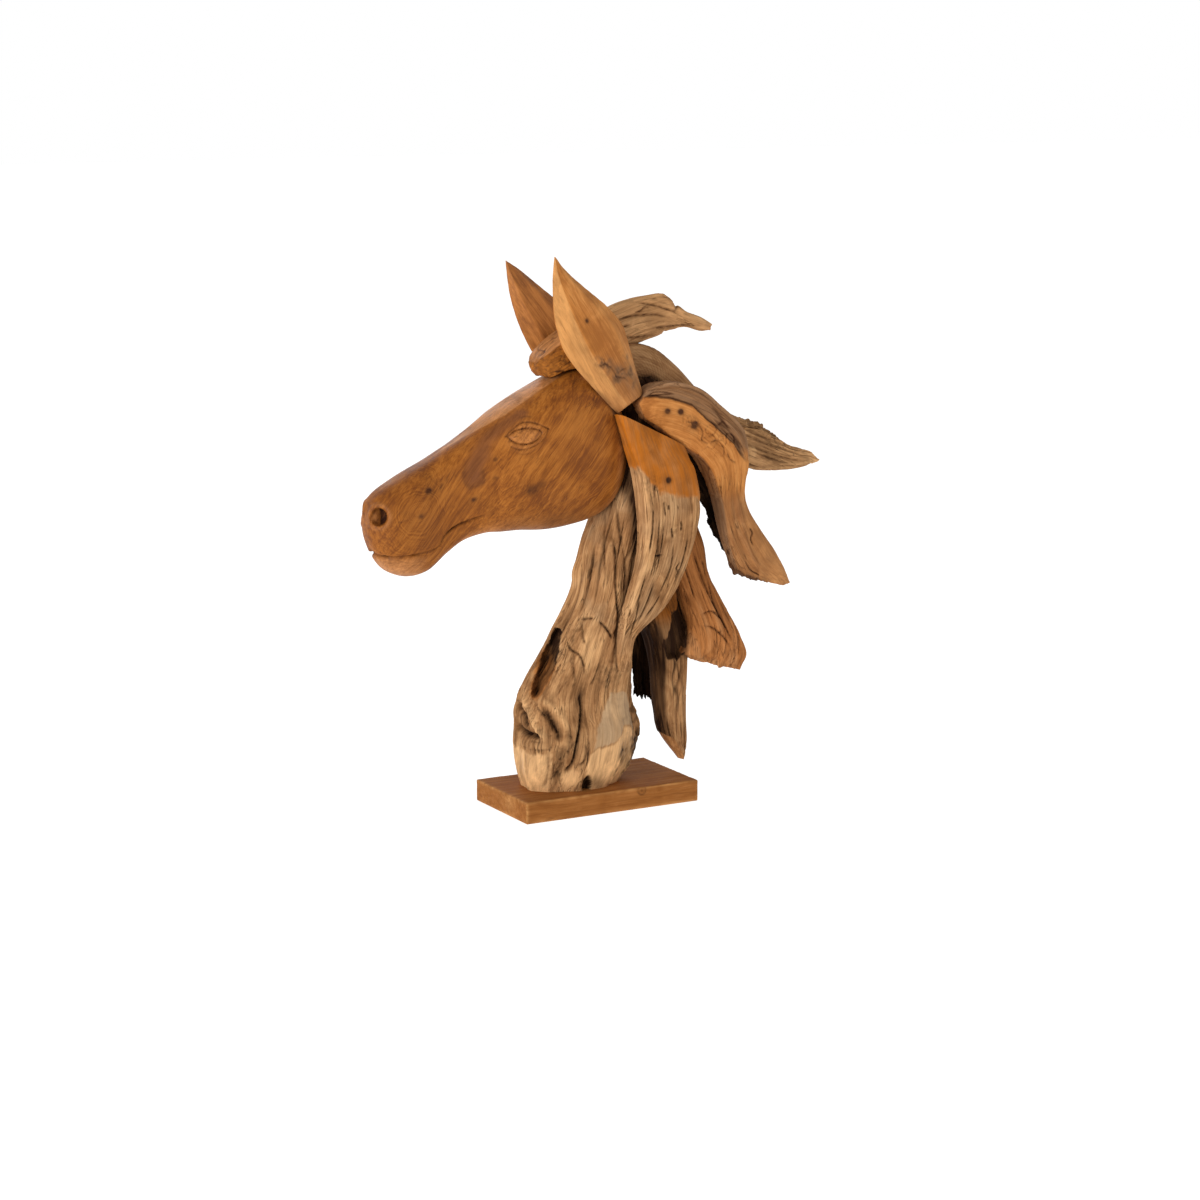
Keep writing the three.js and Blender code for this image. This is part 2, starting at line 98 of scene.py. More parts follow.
# How far from a drawn line its marks reach, in steps, and the distance given to what lies beyond.
LINE_REACH = 24
OUT_OF_REACH = 1e3
KNOT_SUNK = 0.6 * MM
CRACK_DARK = 0.7
GRAIN_BEND = 110 * MM
# Grooves are worn unevenly, by the same noise on every piece: its seed and size, the mean and
# spread of what it leaves of a groove's depth, and the least and most.
WEAR_SEED = 2
WEAR_SIZE = 5 * MM
WEAR_MEAN, WEAR_SPREAD = 0.85, 0.55
WEAR_RANGE = (0.2, 1.3)
# The ways that a surface can face, as an axis and a sign.
FRONT, BACK, NEAR, DOWN, UP = (0, -1), (0, 1), (1, -1), (2, -1), (2, 1)

# The woods' patterns: cycles per metre along, across and through the grain, and the noise's detail,
# roughness and distortion.
FIBRES = ((26, 520, 520), 4, 0.6, 0.2)
STREAKS = ((8, 125, 125), 4, 0.62, 0.5)
PATCHES = ((26, 26, 26), 4, 0.58, 0.6)
THREADS = ((10, 150, 150), 2, 0.5, 0.4)
RING_WANDER = 2.0
TONE_STOPS = (0.41, 0.5, 0.59)
BUMP_DEPTH = 1.6 * MM
# A hairline crack follows the middle of a thread, between these distances from it in the noise's
# own values, and only where the patches lie above these.
HAIR_EDGE = (0.004, 0.026)
HAIR_PATCHES = (0.42, 0.6)
HAIR_DARK = 0.7
# A mark's tint varies with the wood's tone between these shares of it, and its amount with the
# streaks between these.
TINT_GAINS = (0.72, 1.22)
MARK_GAINS = (0.72, 1.25)
GLOSS_SPREAD = (-0.06, 0.06)

WHITE = (1, 1, 1, 1)
FLOOR_SIZE = 40
PAPER_SHADE = (0.5, 0.5, 0.5, 1)
PAPER_ROUGHNESS = 0.95
PAPER_GLOW = 0.8
# The sky's strength as a light, and as the camera and gloss see it.
SKY_LIGHT = 0.45
SKY_SEEN = 1.0
LAMPS_AIM = (0, 0, 0.4)
# The studio's soft lamps: name, place, size and power.
STUDIO_LAMPS = (
    ("left", (-2.8, -1.3, 0.9), 1.4, 60),
    ("front", (1.6, -3.2, 1.6), 2.0, 14),
    ("back", (0.4, 2.8, 1.6), 2.0, 20),
)

# The photograph's camera.
CAMERA_PLACE = (-1.940, -3.544, 1.048)
CAMERA_TURN = (90 - 10.72, 0, -28.95)
CAMERA_LENS = 90
CAMERA_SENSOR = 36
CAMERA_REACH = 100

# Each station is [front x, front z, back x, back z, middle y, half thickness], in steps of 1/729 of
# the figure's height, with z counted from the top of the plinth. Where a form has a thickness of
# its own, the last value is a share of it.
HEAD = [
    [-331, 391, -331, 377, 0, 9], [-327, 411, -327, 358, 0, 20], [-317, 423, -317, 337, 0, 29],
    [-300, 434, -302, 320, 0, 36], [-272, 449, -276, 311, 0, 39], [-244, 462, -246, 316, 0, 37],
    [-220, 475, -219, 337, 0, 35], [-196, 488, -194, 352, 0, 36], [-164, 507, -162, 360, 0, 43],
    [-140, 523, -138, 360, 0, 50], [-112, 538, -112, 360, 0, 56], [-74, 556, -74, 358, 0, 59],
    [-38, 571, -38, 361, 0, 59], [-8, 571, -4, 368, 0, 57], [19, 548, 20, 380, 0, 51],
    [37, 522, 37, 400, 0, 41], [48, 494, 48, 428, 0, 27], [53, 470, 53, 450, 0, 10],
]
NECK = [
    [-98, 0, 40, 0, 0, 52], [-103, 22, 58, 22, 0, 57], [-105, 48, 70, 48, 0, 61],
    [-102, 78, 76, 80, 0, 62], [-102, 106, 69, 108, 0, 59], [-94, 134, 63, 136, 0, 57],
    [-72, 168, 64, 168, 0, 55], [-51, 202, 66, 202, 0, 53], [-31, 234, 70, 234, 0, 51],
    [-17, 264, 76, 264, 0, 49], [-8, 304, 86, 304, 0, 47], [-1, 334, 94, 334, 0, 46],
    [14, 374, 101, 374, 0, 45], [28, 424, 110, 424, 0, 43], [38, 474, 116, 474, 0, 41],
    [44, 518, 114, 518, 0, 38], [50, 546, 106, 546, 0, 32], [58, 556, 98, 556, 0, 22],
]
NEAR_SLAB = [
    [12, 515, 112, 466, -62, 0.78], [26, 473, 120, 446, -64, 0.94], [37, 436, 128, 430, -66, 1],
    [44, 388, 136, 388, -67, 1], [46, 352, 132, 356, -67, 0.98], [42, 312, 119, 312, -66, 0.95],
    [31, 274, 101, 274, -64, 0.9], [21, 240, 79, 244, -62, 0.84], [16, 212, 42, 214, -60, 0.72],
    [13, 188, 34, 186, -60, 0.52], [15, 162, 26, 160, -60, 0.24],
]
FAR_SLAB = [
    [20, 508, 110, 470, 60, 0.8], [44, 436, 130, 432, 62, 1], [54, 374, 146, 372, 62, 1],
    [62, 312, 146, 312, 60, 1], [70, 262, 142, 258, 58, 0.94], [84, 212, 140, 206, 55, 0.86],
    [94, 166, 138, 160, 52, 0.76], [98, 128, 136, 122, 50, 0.62], [102, 100, 134, 94, 50, 0.42],
]
NEAR_EAR = [
    [-83, 729, -81, 728, -63, 0.07], [-85, 702, -66, 711, -62, 0.4], [-84, 675, -38, 688, -60, 0.66],
    [-80, 642, -4, 663, -58, 0.86], [-67, 606, 22, 637, -56, 1], [-46, 578, 33, 613, -54, 1],
    [-19, 551, 43, 584, -52, 1], [6, 526, 52, 558, -51, 0.96], [20, 514, 59, 538, -50, 0.9],
]
FAR_EAR = [
    [-90, 716, -88, 715, 63, 0.07], [-88, 692, -70, 704, 62, 0.4], [-84, 665, -42, 682, 60, 0.66],
    [-74, 632, -8, 655, 58, 0.86], [-58, 598, 18, 628, 56, 1], [-38, 570, 30, 602, 54, 1],
    [-14, 545, 40, 574, 52, 1], [8, 522, 50, 548, 51, 0.96], [22, 508, 57, 528, 50, 0.9],
]
FORELOCK = [
    [-83, 584, -80, 574, 0, 12], [-75, 594, -67, 564, 0, 22], [-58, 608, -47, 571, 0, 27],
    [-36, 622, -24, 575, 0, 29], [-18, 628, -12, 566, 0, 29],
]
CREST = [
    [-22, 622, -14, 570, 4, 0.62], [20, 645, 27, 584, 4, 0.7], [58, 659, 62, 596, 5, 0.68],
    [94, 665, 92, 604, 7, 0.62], [121, 666, 118, 611, 9, 0.55], [139, 655, 140, 615, 10, 0.42],
    [160, 641, 158, 617, 10, 0.33], [184, 632, 181, 611, 10, 0.28], [203, 621, 201, 611, 10, 0.16],
]
UPPER = [
    [28, 594, 36, 548, 2, 0.7], [64, 604, 70, 536, 2, 0.92], [100, 596, 96, 522, 2, 1],
    [138, 568, 130, 498, 2, 1], [178, 529, 168, 466, 2, 0.95], [230, 495, 212, 436, 2, 0.86],
    [266, 483, 250, 420, 2, 0.74], [286, 471, 278, 413, 3, 0.64], [326, 445, 318, 410, 4, 0.48],
    [360, 435, 350, 412, 5, 0.3], [380, 422, 376, 417, 5, 0.1],
]
KNEE = [
    [47, 529, 58, 505, -50, 0.6], [64, 547, 78, 492, -52, 0.95], [98, 553, 98, 476, -54, 1],
    [138, 542, 126, 458, -55, 1], [172, 516, 142, 446, -56, 1], [209, 482, 156, 424, -56, 0.96],
    [217, 442, 165, 402, -56, 0.86], [211, 404, 172, 382, -56, 0.8], [216, 376, 180, 345, -57, 0.8],
    [236, 344, 190, 312, -58, 0.78], [260, 312, 204, 284, -58, 0.72], [278, 284, 238, 270, -58, 0.5],
    [290, 262, 278, 258, -58, 0.2],
]
BARK = [
    [84, 500, 140, 515, -16, 0.5], [118, 456, 182, 470, -18, 0.6], [150, 410, 212, 420, -20, 0.62],
    [176, 368, 232, 376, -22, 0.58], [186, 338, 248, 336, -24, 0.5], [210, 302, 256, 300, -26, 0.36],
    [232, 282, 248, 282, -27, 0.16],
]
FOOT = [
    [82, 404, 134, 400, -8, 0.72], [96, 368, 156, 366, -8, 0.84], [112, 322, 177, 322, -8, 0.88],
    [128, 282, 184, 281, -9, 0.9], [142, 245, 201, 246, -10, 0.92], [152, 212, 220, 213, -10, 0.92],
    [153, 188, 235, 185, -10, 0.9], [144, 168, 246, 158, -10, 0.82], [150, 160, 238, 134, -10, 0.58],
]
SPIKE = [
    [52, 300, 118, 304, 8, 0.8], [64, 262, 146, 262, 8, 0.98], [84, 222, 158, 222, 7, 1],
    [101, 184, 160, 186, 6, 1], [107, 150, 159, 152, 5, 0.95], [109, 112, 157, 116, 4, 0.86],
    [113, 76, 156, 78, 3, 0.78], [122, 48, 157, 36, 2, 0.66], [147, 13, 156, 10, 2, 0.12],
]
EAR_CORNERS = [[-1, 0.05], [-0.42, 1], [0.62, 0.62], [1, 0.05], [0.55, -0.55], [-0.5, -0.75]]
OUTLINE_POINTS = 2048


def round_outline(power, pear=0.0):
    """The outline of a section, in shares of its half width and half thickness."""
    turn = np.linspace(0, 2 * math.pi, OUTLINE_POINTS, endpoint=False)
    across = np.sign(np.cos(turn)) * np.abs(np.cos(turn)) ** (2 / power)
    through = np.sign(np.sin(turn)) * np.abs(np.sin(turn)) ** (2 / power)
    return np.stack([across, through * (1 + pear * across)], 1)


def leaf_outline(corners, softness=0.007):
    """An outline through corners, whose edges are worn round."""
    corners = np.array(corners)
    share = np.linspace(0, len(corners), OUTLINE_POINTS, endpoint=False)
    start = share.astype(int)
    end = (start + 1) % len(corners)
    line = corners[start] + (corners[end] - corners[start]) * (share - start)[:, None]
    reach = int(softness * OUTLINE_POINTS)
    line = np.concatenate([line[-reach:], line, line[:reach]])
    weights = np.hanning(2 * reach + 3)[1:-1]
    weights /= weights.sum()
    return np.stack([np.convolve(line[:, side], weights, "valid") for side in range(2)], 1)


# Each form: stations, outline, thickness (none where the stations give it in steps) and the
# solid's flutes: how many, how deep, how they drift and where they begin.
FORMS = {
    "head": (HEAD, round_outline(2.7, -0.1), None, None),
    "neck": (NECK, round_outline(2.2), None, (5, 0.035, 0.35, 0.6)),
    "neck_slab_near": (NEAR_SLAB, round_outline(5), SLAB_THICKNESS, (3, 0.02, 0.5, 1.9)),
    "neck_slab_far": (FAR_SLAB, round_outline(2.6), SLAB_THICKNESS, (3, 0.03, 0.7, 0.4)),
    "ear_near": (NEAR_EAR, leaf_outline(EAR_CORNERS), EAR_THICKNESS, None),
    "ear_far": (FAR_EAR, leaf_outline(EAR_CORNERS) * [1, -1], EAR_THICKNESS, None),
    "forelock": (FORELOCK, round_outline(9), None, None),
    "crest_lock": (CREST, round_outline(2.6), LOCK_THICKNESS, (3, 0.035, 0.8, 2.6)),
    "upper_lock": (UPPER, round_outline(3.4), LOCK_THICKNESS, (3, 0.03, 0.4, 0.9)),
    "kneed_lock": (KNEE, round_outline(5), LOCK_THICKNESS, (2, 0.03, 0.5, 1.2)),
    "bark_flake": (BARK, round_outline(2.8), LOCK_THICKNESS, (3, 0.05, 1.3, 0.2)),
    "foot_lock": (FOOT, round_outline(3.4), LOCK_THICKNESS, (2, 0.03, 0.6, 2.1)),
    "spike_lock": (SPIKE, round_outline(3), LOCK_THICKNESS, (3, 0.025, 0.5, 1.5)),
}
# How each piece is drawn: the gap between its points in millimetres, how much closer they stand on
# the near side, and the seeds of its noise and of its cracks.
DRAWING = {
    "head": (1.57, 1.9, 3, 0),
    "neck": (1.7, 1.5, 17, 5),
    "neck_slab_near": (1.5, 1.7, 23, 8),
    "neck_slab_far": (2.0, 1.0, 29, 9),
    "ear_near": (1.5, 1.4, 71, 0),
    "ear_far": (1.5, 1.4, 73, 0),
    "forelock": (1.5, 1.3, 31, 11),
    "crest_lock": (1.4, 1.4, 37, 12),
    "upper_lock": (1.5, 1.4, 41, 13),
    "kneed_lock": (1.5, 1.8, 43, 14),
    "bark_flake": (1.8, 1.0, 47, 15),
    "foot_lock": (1.5, 1.6, 53, 16),
    "spike_lock": (1.5, 1.6, 59, 17),
}
# Weathered ridges: depth and period in millimetres, how many times longer than wide, how deep
# their thin cuts are in millimetres, and how dark. Then open cracks: how many, and the range of
# their length in millimetres, width in steps and depth in millimetres.
WEATHERING = {
    "neck": ((3.2, 14, 18, 2.0, 0.16), (46, (25, 130), (0.7, 1.3), (2, 4.5))),
    "neck_slab_near": ((2.4, 13, 16, 2.0, 0.26), (36, (14, 90), (0.7, 1.2), (1.5, 3.5))),
    "neck_slab_far": ((4.0, 16, 9, 2.0, 0.3), (30, (20, 110), (0.9, 1.7), (2, 4.5))),
    "forelock": ((0.8, 9, 6, 1.0, 0.3), (10, (10, 40), (0.8, 1.3), (1, 2.5))),
    "crest_lock": ((1.9, 13, 13, 1.3, 0.08), (12, (15, 80), (0.7, 1.1), (1.5, 4))),
    "upper_lock": ((2.8, 12, 14, 1.4, 0.08), (24, (20, 120), (0.7, 1.3), (1.5, 4))),
    "kneed_lock": ((2.2, 12, 12, 1.8, 0.25), (18, (14, 60), (0.7, 1.2), (1, 3))),
    "bark_flake": ((3.2, 10, 4, 2.0, 0.3), (20, (12, 60), (0.9, 1.6), (1.5, 4))),
    "foot_lock": ((1.8, 11, 14, 1.8, 0.16), (20, (20, 90), (0.7, 1.1), (1.5, 4))),
    "spike_lock": ((2.2, 12, 14, 2.0, 0.3), (20, (20, 90), (0.7, 1.2), (1.5, 3.5))),
}


# Each finer layer of noise is this much finer, and the gains bring the values to about -1 to 1.
LAYER_RATIO = 2.03
PLAIN_GAIN = 1.7
LAYERED_GAIN = 1.5


class Noise:
    """Smooth random values in space, about -1 to 1 and the same at every run."""

    def __init__(self, seed):
        draw = np.random.default_rng(seed)
        self.order = np.tile(draw.permutation(256), 3)
        slopes = draw.normal(size=(256, 3))
        self.slopes = slopes / np.linalg.norm(slopes, axis=1)[:, None]

    def plain(self, places):
        cell = np.floor(places).astype(np.int64)
        inside = places - cell
        fade = inside**3 * (inside * (inside * 6 - 15) + 10)
        cell &= 255
        total = np.zeros(places.shape[:-1])
        for corner in np.ndindex(2, 2, 2):
            x, y, z = ((cell[..., k] + corner[k]) & 255 for k in range(3))
            which = self.order[self.order[self.order[x] + y] + z]
            share = np.prod(np.where(corner, fade, 1 - fade), axis=-1)
            total += share * (self.slopes[which] * (inside - corner)).sum(-1)
        return total * PLAIN_GAIN

    def layered(self, places, layers=3):
        return sum(self.plain(places * LAYER_RATIO**k + 11 * k) / 2**k for k in range(layers)) / LAYERED_GAIN

    def creased(self, places, layers=3):
        """Rounded ridges from 0 to about 1, with a sharp floor between them."""
        return sum(np.abs(self.plain(places * LAYER_RATIO**k + 7 * k)) / 2**k for k in range(layers))


def place(x, y, z):
    """A point of the figure in metres, from steps."""
    steps = np.stack(np.broadcast_arrays(x, y, z), -1).astype(float)
    return steps * STEP + [0, 0, plinth_high[2]]


def curve(table, t):
    """Rows of a table at the places t, on the same curve as the solids have."""
    last = len(table) - 1
    span = np.minimum(np.floor(t).astype(int), last - 1)
    s = (t - span)[:, None]
    start, end = table[span], table[span + 1]
    before = np.where((span > 0)[:, None], table[np.maximum(span - 1, 0)], 2 * start - end)
    after = np.where((span + 2 <= last)[:, None], table[np.minimum(span + 2, last)], 2 * end - start)
    slope_start, slope_end = (end - before) / 2, (after - start) / 2
    bend = 2 * (start - end) + slope_start + slope_end
    return start + slope_start * s + (3 * (end - start) - 2 * slope_start - slope_end) * s**2 + bend * s**3


def unit_vectors(vectors):
    return vectors / np.maximum(np.linalg.norm(vectors, axis=-1, keepdims=True), 1e-12)


def along(table, value):
    """Reads a table of pairs as a broken line."""
    return np.interp(value, *zip(*table))


def soft_step(value, low, high):
    share = np.clip((value - low) / (high - low), 0, 1)
    return share * share * (3 - 2 * share)


class Piece:
    """The net of points of one piece: rows along the grain, columns around it."""

    def __init__(self, name, focus=(), bulges=(0.0, 0.0)):
        stations, outline, thickness, flutes = FORMS[name]
        spacing, near, noise_seed, crack_seed = DRAWING[name]
        gap = spacing * MM
        self.name = name
        self.noise = Noise(noise_seed)
        self.draw = np.random.default_rng(crack_seed)
        table = np.array(stations, float)
        last = len(table) - 1
        fine = np.linspace(0, last, FINE_ROWS * last + 1)
        front, back, half = self.edges(table, fine, thickness)
        middle = (front + back) / 2
        pieces = np.linalg.norm(np.diff(middle, axis=0), axis=1)
        weight = np.ones(len(pieces))
        for at, reach, strength in focus:
            weight += strength * np.exp(-(((middle[1:, 0] / STEP - at) / reach) ** 2))
        run = np.concatenate([[0], np.cumsum(pieces * weight)])
        count = int(run[-1] / gap) + 1
        t = np.interp(np.linspace(0, run[-1], count), run, fine)
        wide = np.linalg.norm(back - front, axis=1).mean() / 2
        turns = self.columns(outline, wide, half.mean(), gap, near)
        shape = np.concatenate([outline, outline[:1]])
        turn_line = np.linspace(0, 2 * math.pi, len(shape))
        across_share, through_share = (np.interp(turns, turn_line, shape[:, k]) for k in range(2))

        front, back, half = self.edges(table, t, thickness)
        middle, across = (front + back) / 2, (back - front) / 2
        tangent = unit_vectors(np.gradient(middle, axis=0))
        through = unit_vectors(np.cross(tangent, across))
        through *= np.where(through[:, 1:2] > 0, -1, 1)
        length = np.concatenate([[0], np.cumsum(np.linalg.norm(np.diff(middle, axis=0), axis=1))])

        # The two ends are closed by rings that shrink towards the middle.
        rows, shares, out = [np.arange(count)], [np.ones(count)], [np.zeros(count)]
        for end, bulge in ((0, bulges[0]), (count - 1, bulges[1])):
            radius = min(half[end], np.linalg.norm(across[end]))
            rings = max(3, int(radius / gap))
            ring_shares = np.linspace(SMALLEST_RING, 1, rings + 1)[:-1]
            if end:
                ring_shares = ring_shares[::-1]
            side = np.full(rings, end)
            lift = np.sqrt(1 - ring_shares**2) * bulge * (1 if end else -1)
            for stack, new in ((rows, side), (shares, ring_shares), (out, lift)):
                stack.insert(len(stack) if end else 0, new)
        rows, shares, out = (np.concatenate(stack) for stack in (rows, shares, out))
        self.t = t[rows]
        self.tangent = tangent[rows][:, None]
        self.turns = turns
        width = np.linalg.norm(across, axis=1)[rows]
        ripple = np.ones((len(rows), len(turns)))
        if flutes:
            many, depth, drift, seed = flutes
            slow = np.sin(many * turns + drift * self.t[:, None] + seed)
            quick = np.sin((2 * many + 1) * turns - 1.7 * drift * self.t[:, None] + 2.3 * seed)
            ripple += depth * (slow + 0.5 * quick)
        ripple *= shares[:, None]
        flat = across[rows][:, None] * (across_share * ripple)[..., None]
        deep = (through * half[:, None])[rows][:, None] * (through_share * ripple)[..., None]
        self.points = (middle[rows] + tangent[rows] * out[:, None])[:, None] + flat + deep
        lengthwise = (length[rows] + out - (1 - shares) * END_GRAIN)[:, None]
        crosswise = [across_share * ripple * width[:, None], through_share * ripple * half[rows][:, None]]
        self.grain = np.stack([np.broadcast_to(lengthwise, ripple.shape), *crosswise], -1)
        self.ring = np.hypot(self.grain[..., 1] + PITH[0], self.grain[..., 2] + PITH[1]) / RING_SPACING
        self.normals = self.outward(self.points)
        worn = WEAR_MEAN + WEAR_SPREAD * Noise(WEAR_SEED).layered(self.points / WEAR_SIZE, 2)
        self.wear = np.clip(worn, *WEAR_RANGE)
        self.relief = np.zeros(ripple.shape)
        self.marks = {mark: np.zeros(ripple.shape) for mark in MARKS}

    @staticmethod
    def edges(table, t, thickness):
        values = curve(table, t)
        front = place(values[:, 0], values[:, 4], values[:, 1])
        back = place(values[:, 2], values[:, 4], values[:, 3])
        half = values[:, 5] * (thickness / 2 if thickness else STEP)
        return front, back, np.maximum(half, THINNEST_HALF)

    @staticmethod
    def columns(outline, wide, thick, gap, near):
        """Where the columns stand around the section, evenly spaced, and closer on the near side."""
        size = outline * [wide, thick]
        steps = np.linalg.norm(np.roll(size, -1, 0) - size, axis=1)
        count = int(steps.sum() * (1 + (near - 1) / 3) / gap)
        steps *= 1 + (near - 1) * np.clip(outline[:, 1], 0, 1)
        run = np.concatenate([[0], np.cumsum(steps)])
        turn = np.linspace(0, 2 * math.pi, len(run))
        return np.interp(np.linspace(0, run[-1], count, endpoint=False), run, turn)

    @staticmethod
    def outward(points):
        down = np.gradient(points, axis=0)
        around = np.roll(points, -1, 1) - np.roll(points, 1, 1)
        normals = unit_vectors(np.cross(around, down))
        outwards = (normals * (points - points.mean(1, keepdims=True))).sum()
        return normals if outwards > 0 else -normals

    def steps(self):
        """Each point's x, and its height above the plinth, in steps."""
        return self.points[..., 0] / STEP, (self.points[..., 2] - plinth_high[2]) / STEP

    def faces(self, way, low, high):
        """From 0 to 1, how much the surface faces one way."""
        axis, sign = way
        return soft_step(sign * self.normals[..., axis], low, high)

    def patchy(self, size, layers=3, shift=0):
        """Random patches, about -1 to 1, of a size in millimetres."""
        return self.noise.layered(self.points / (size * MM) + shift, layers)

    def streaky(self, sizes, layers=3, shift=0):
        """The same, of sizes along, across and through the grain."""
        return self.noise.layered(self.grain / (np.array(sizes) * MM) + shift, layers)

    def anchor(self, spot, side=-1):
        """The surface point nearest to a spot given as x, z or as x, y, z, and the grain's run there.

        Spots are in steps and lie on the near side. With side 1 they are mirrored to the far side.
        """
        if len(spot) == 3:
            target = place(spot[0], -side * spot[1], spot[2])
            away = np.linalg.norm(self.points - target, axis=-1)
        else:
            target = place(spot[0], 0, spot[1])
            away = np.abs(self.points - target)[..., [0, 2]].max(-1)
            away = away + np.where(self.normals[..., 1] * side > 0.05, 0, 1)
        row, column = np.unravel_index(np.argmin(away), away.shape)
        return self.points[row, column].copy(), self.tangent[row, 0]

    def spot(self, spot, radius, stretch=1.0, hard=1.0, side=-1):
        """A patch of 1 at its middle and 0 outside, stretched along the grain. radius is in steps."""
        middle, tangent = self.anchor(spot, side)
        away = self.points - middle
        lengthwise = away @ tangent
        rest = np.maximum((away**2).sum(-1) - lengthwise**2, 0)
        size = radius * STEP
        return np.exp(-((((lengthwise / stretch) ** 2 + rest) / size**2) ** hard))

    def line(self, route, side=-1):
        """How far each point is from a drawn line in steps, and where along the line it is, 0 to 1."""
        knots = np.array([self.anchor(spot, side)[0] for spot in route])
        t = np.linspace(0, len(knots) - 1, 6 * (len(knots) - 1) + 1)
        knots = curve(knots, t) if len(knots) > 2 else knots
        low, high = knots.min(0) - LINE_REACH * STEP, knots.max(0) + LINE_REACH * STEP
        close = np.all((self.points > low) & (self.points < high), -1)
        points = self.points[close]
        away, share = np.full(len(points), 1.0), np.zeros(len(points))
        for k, (start, end) in enumerate(zip(knots[:-1], knots[1:])):
            span = end - start
            part = np.clip((points - start) @ span / max(span @ span, 1e-12), 0, 1)
            distance = np.linalg.norm(points - start - part[:, None] * span, axis=1)
            nearer = distance < away
            away[nearer] = distance[nearer]
            share[nearer] = (k + part[nearer]) / (len(knots) - 1)
        whole_away, whole_share = np.full(close.shape, OUT_OF_REACH), np.zeros(close.shape)
        whole_away[close] = away / STEP
        whole_share[close] = share
        return whole_away, whole_share

    def press(self, direction, amount):
        """Moves points along one direction, which keeps the outline seen from there."""
        self.points += np.array(direction) * amount[..., None]

    def saw_off(self, spot, outward):
        """Cuts the piece flat at a plane through a spot in steps, moving points along its last run."""
        run = self.tangent[-1, 0]
        beyond = np.maximum((self.points - place(*spot)) @ np.array(outward), 0)
        self.points -= (beyond / (run @ np.array(outward)))[..., None] * run

    def mark(self, kind, amount):
        self.marks[kind] = np.clip(self.marks[kind] + amount, 0, 1)

    def grooves(self, rows, side=-1):
        """Cuts and cracks along drawn lines.

        Each row is a route, a half width and depth in steps, a darkness, and the share of the
        route over which each end runs out.
        """
        for route, width, depth, dark, taper in rows:
            away, share = self.line(route, side)
            ends = soft_step(share, -0.001, taper) * soft_step(1 - share, -0.001, taper) if taper else 1
            profile = np.exp(-((away / width) ** 2)) * ends * self.wear
            self.relief -= depth * STEP * profile
            self.mark("dark", dark * profile)

    def stain(self, rows, speckle):
        """Stains: mark, amount, spot, radius, stretch, hardness and whether it is speckled."""
        for kind, amount, spot, radius, stretch, hard, speckled in rows:
            patch = amount * self.spot(spot, radius, stretch, hard)
            self.mark(kind, patch * speckle if speckled else patch)

    def knots(self, rows, dark=0.95):
        """Round knots: each a dark, slightly sunken eye in a faint halo."""
        for spot, radius in rows:
            eye = self.spot(spot, radius, 1.1, 2.0)
            self.mark("dark", dark * eye + 0.25 * self.spot(spot, 1.8 * radius, 1.1, 2.0))
            self.relief -= KNOT_SUNK * eye

    def weather(self, allowed=1.0):
        """Long rounded ridges along the grain, with dark floors and thin deeper cuts."""
        depth, period, stretch, cut, dark = WEATHERING[self.name][0]
        bend = self.noise.plain(self.grain / GRAIN_BEND)[..., None] * [0, 0.6, 0.6]
        places = self.grain / (np.array([stretch, 1, 1]) * period * MM) + bend
        ridges = self.noise.creased(places) ** 0.8
        swell = self.noise.layered(places * 0.37 + 31, 2)
        self.relief += depth * MM * (ridges - 0.5 + 0.9 * swell) * allowed
        self.mark("dark", dark * soft_step(0.3 - ridges, 0, 0.26) * allowed)
        thread = np.abs(self.noise.plain(places * 1.3 + 5))
        broken = soft_step(self.noise.plain(places * [0.7, 0.45, 0.45] + 9), 0.0, 0.3)
        floor = (1 - soft_step(thread, 0.02, 0.15)) * broken * allowed
        self.relief -= cut * MM * floor
        self.mark("dark", 1.9 * dark * floor)

    def cracks(self, allowed=1.0):
        """Open cracks along the grain at random places."""
        count, length, width, depth = WEATHERING[self.name][1]
        draw = self.draw
        allowed = np.broadcast_to(allowed, self.relief.shape)
        run = self.grain[:, 0, 0]
        girth = np.linalg.norm(np.roll(self.points, -1, 1) - self.points, axis=-1).sum(1).mean()
        around = self.turns / (2 * math.pi) * girth
        for _ in range(count):
            start, column = draw.uniform(run.min(), run.max()), draw.uniform(0, girth)
            size = draw.uniform(*length) * MM
            bends = draw.uniform(-1, 1, 3)
            share = (run - start) / size
            inside = (share > 0) & (share < 1)
            if not inside.any():
                continue
            share = share[inside]
            drift = bends[0] * 3 * np.sin(3 * share + 6 * bends[1]) + bends[2] * 1.2 * np.sin(13 * share)
            away = around[None] - column - (drift * MM)[:, None]
            away = (away + girth / 2) % girth - girth / 2
            taper = np.sqrt(np.clip(np.sin(math.pi * share), 0, 1))[:, None]
            thick = draw.uniform(*width) * STEP * (0.35 + 0.65 * taper)
            profile = np.exp(-((away / thick) ** 2)) * taper * allowed[inside]
            self.relief[inside] -= draw.uniform(*depth) * MM * profile
            self.marks["dark"][inside] = np.clip(self.marks["dark"][inside] + CRACK_DARK * profile, 0, 1)

    def shaped(self):
        points = self.points + self.normals * self.relief[..., None]
        return np.clip(points, np.array(cad_box[0]) + BOX_MARGIN, np.array(cad_box[1]) - BOX_MARGIN)


def cuts(routes, width, depth, dark, taper):
    """Rows for grooves that differ only in their route."""
    return [(route, width, depth, dark, taper) for route in routes]


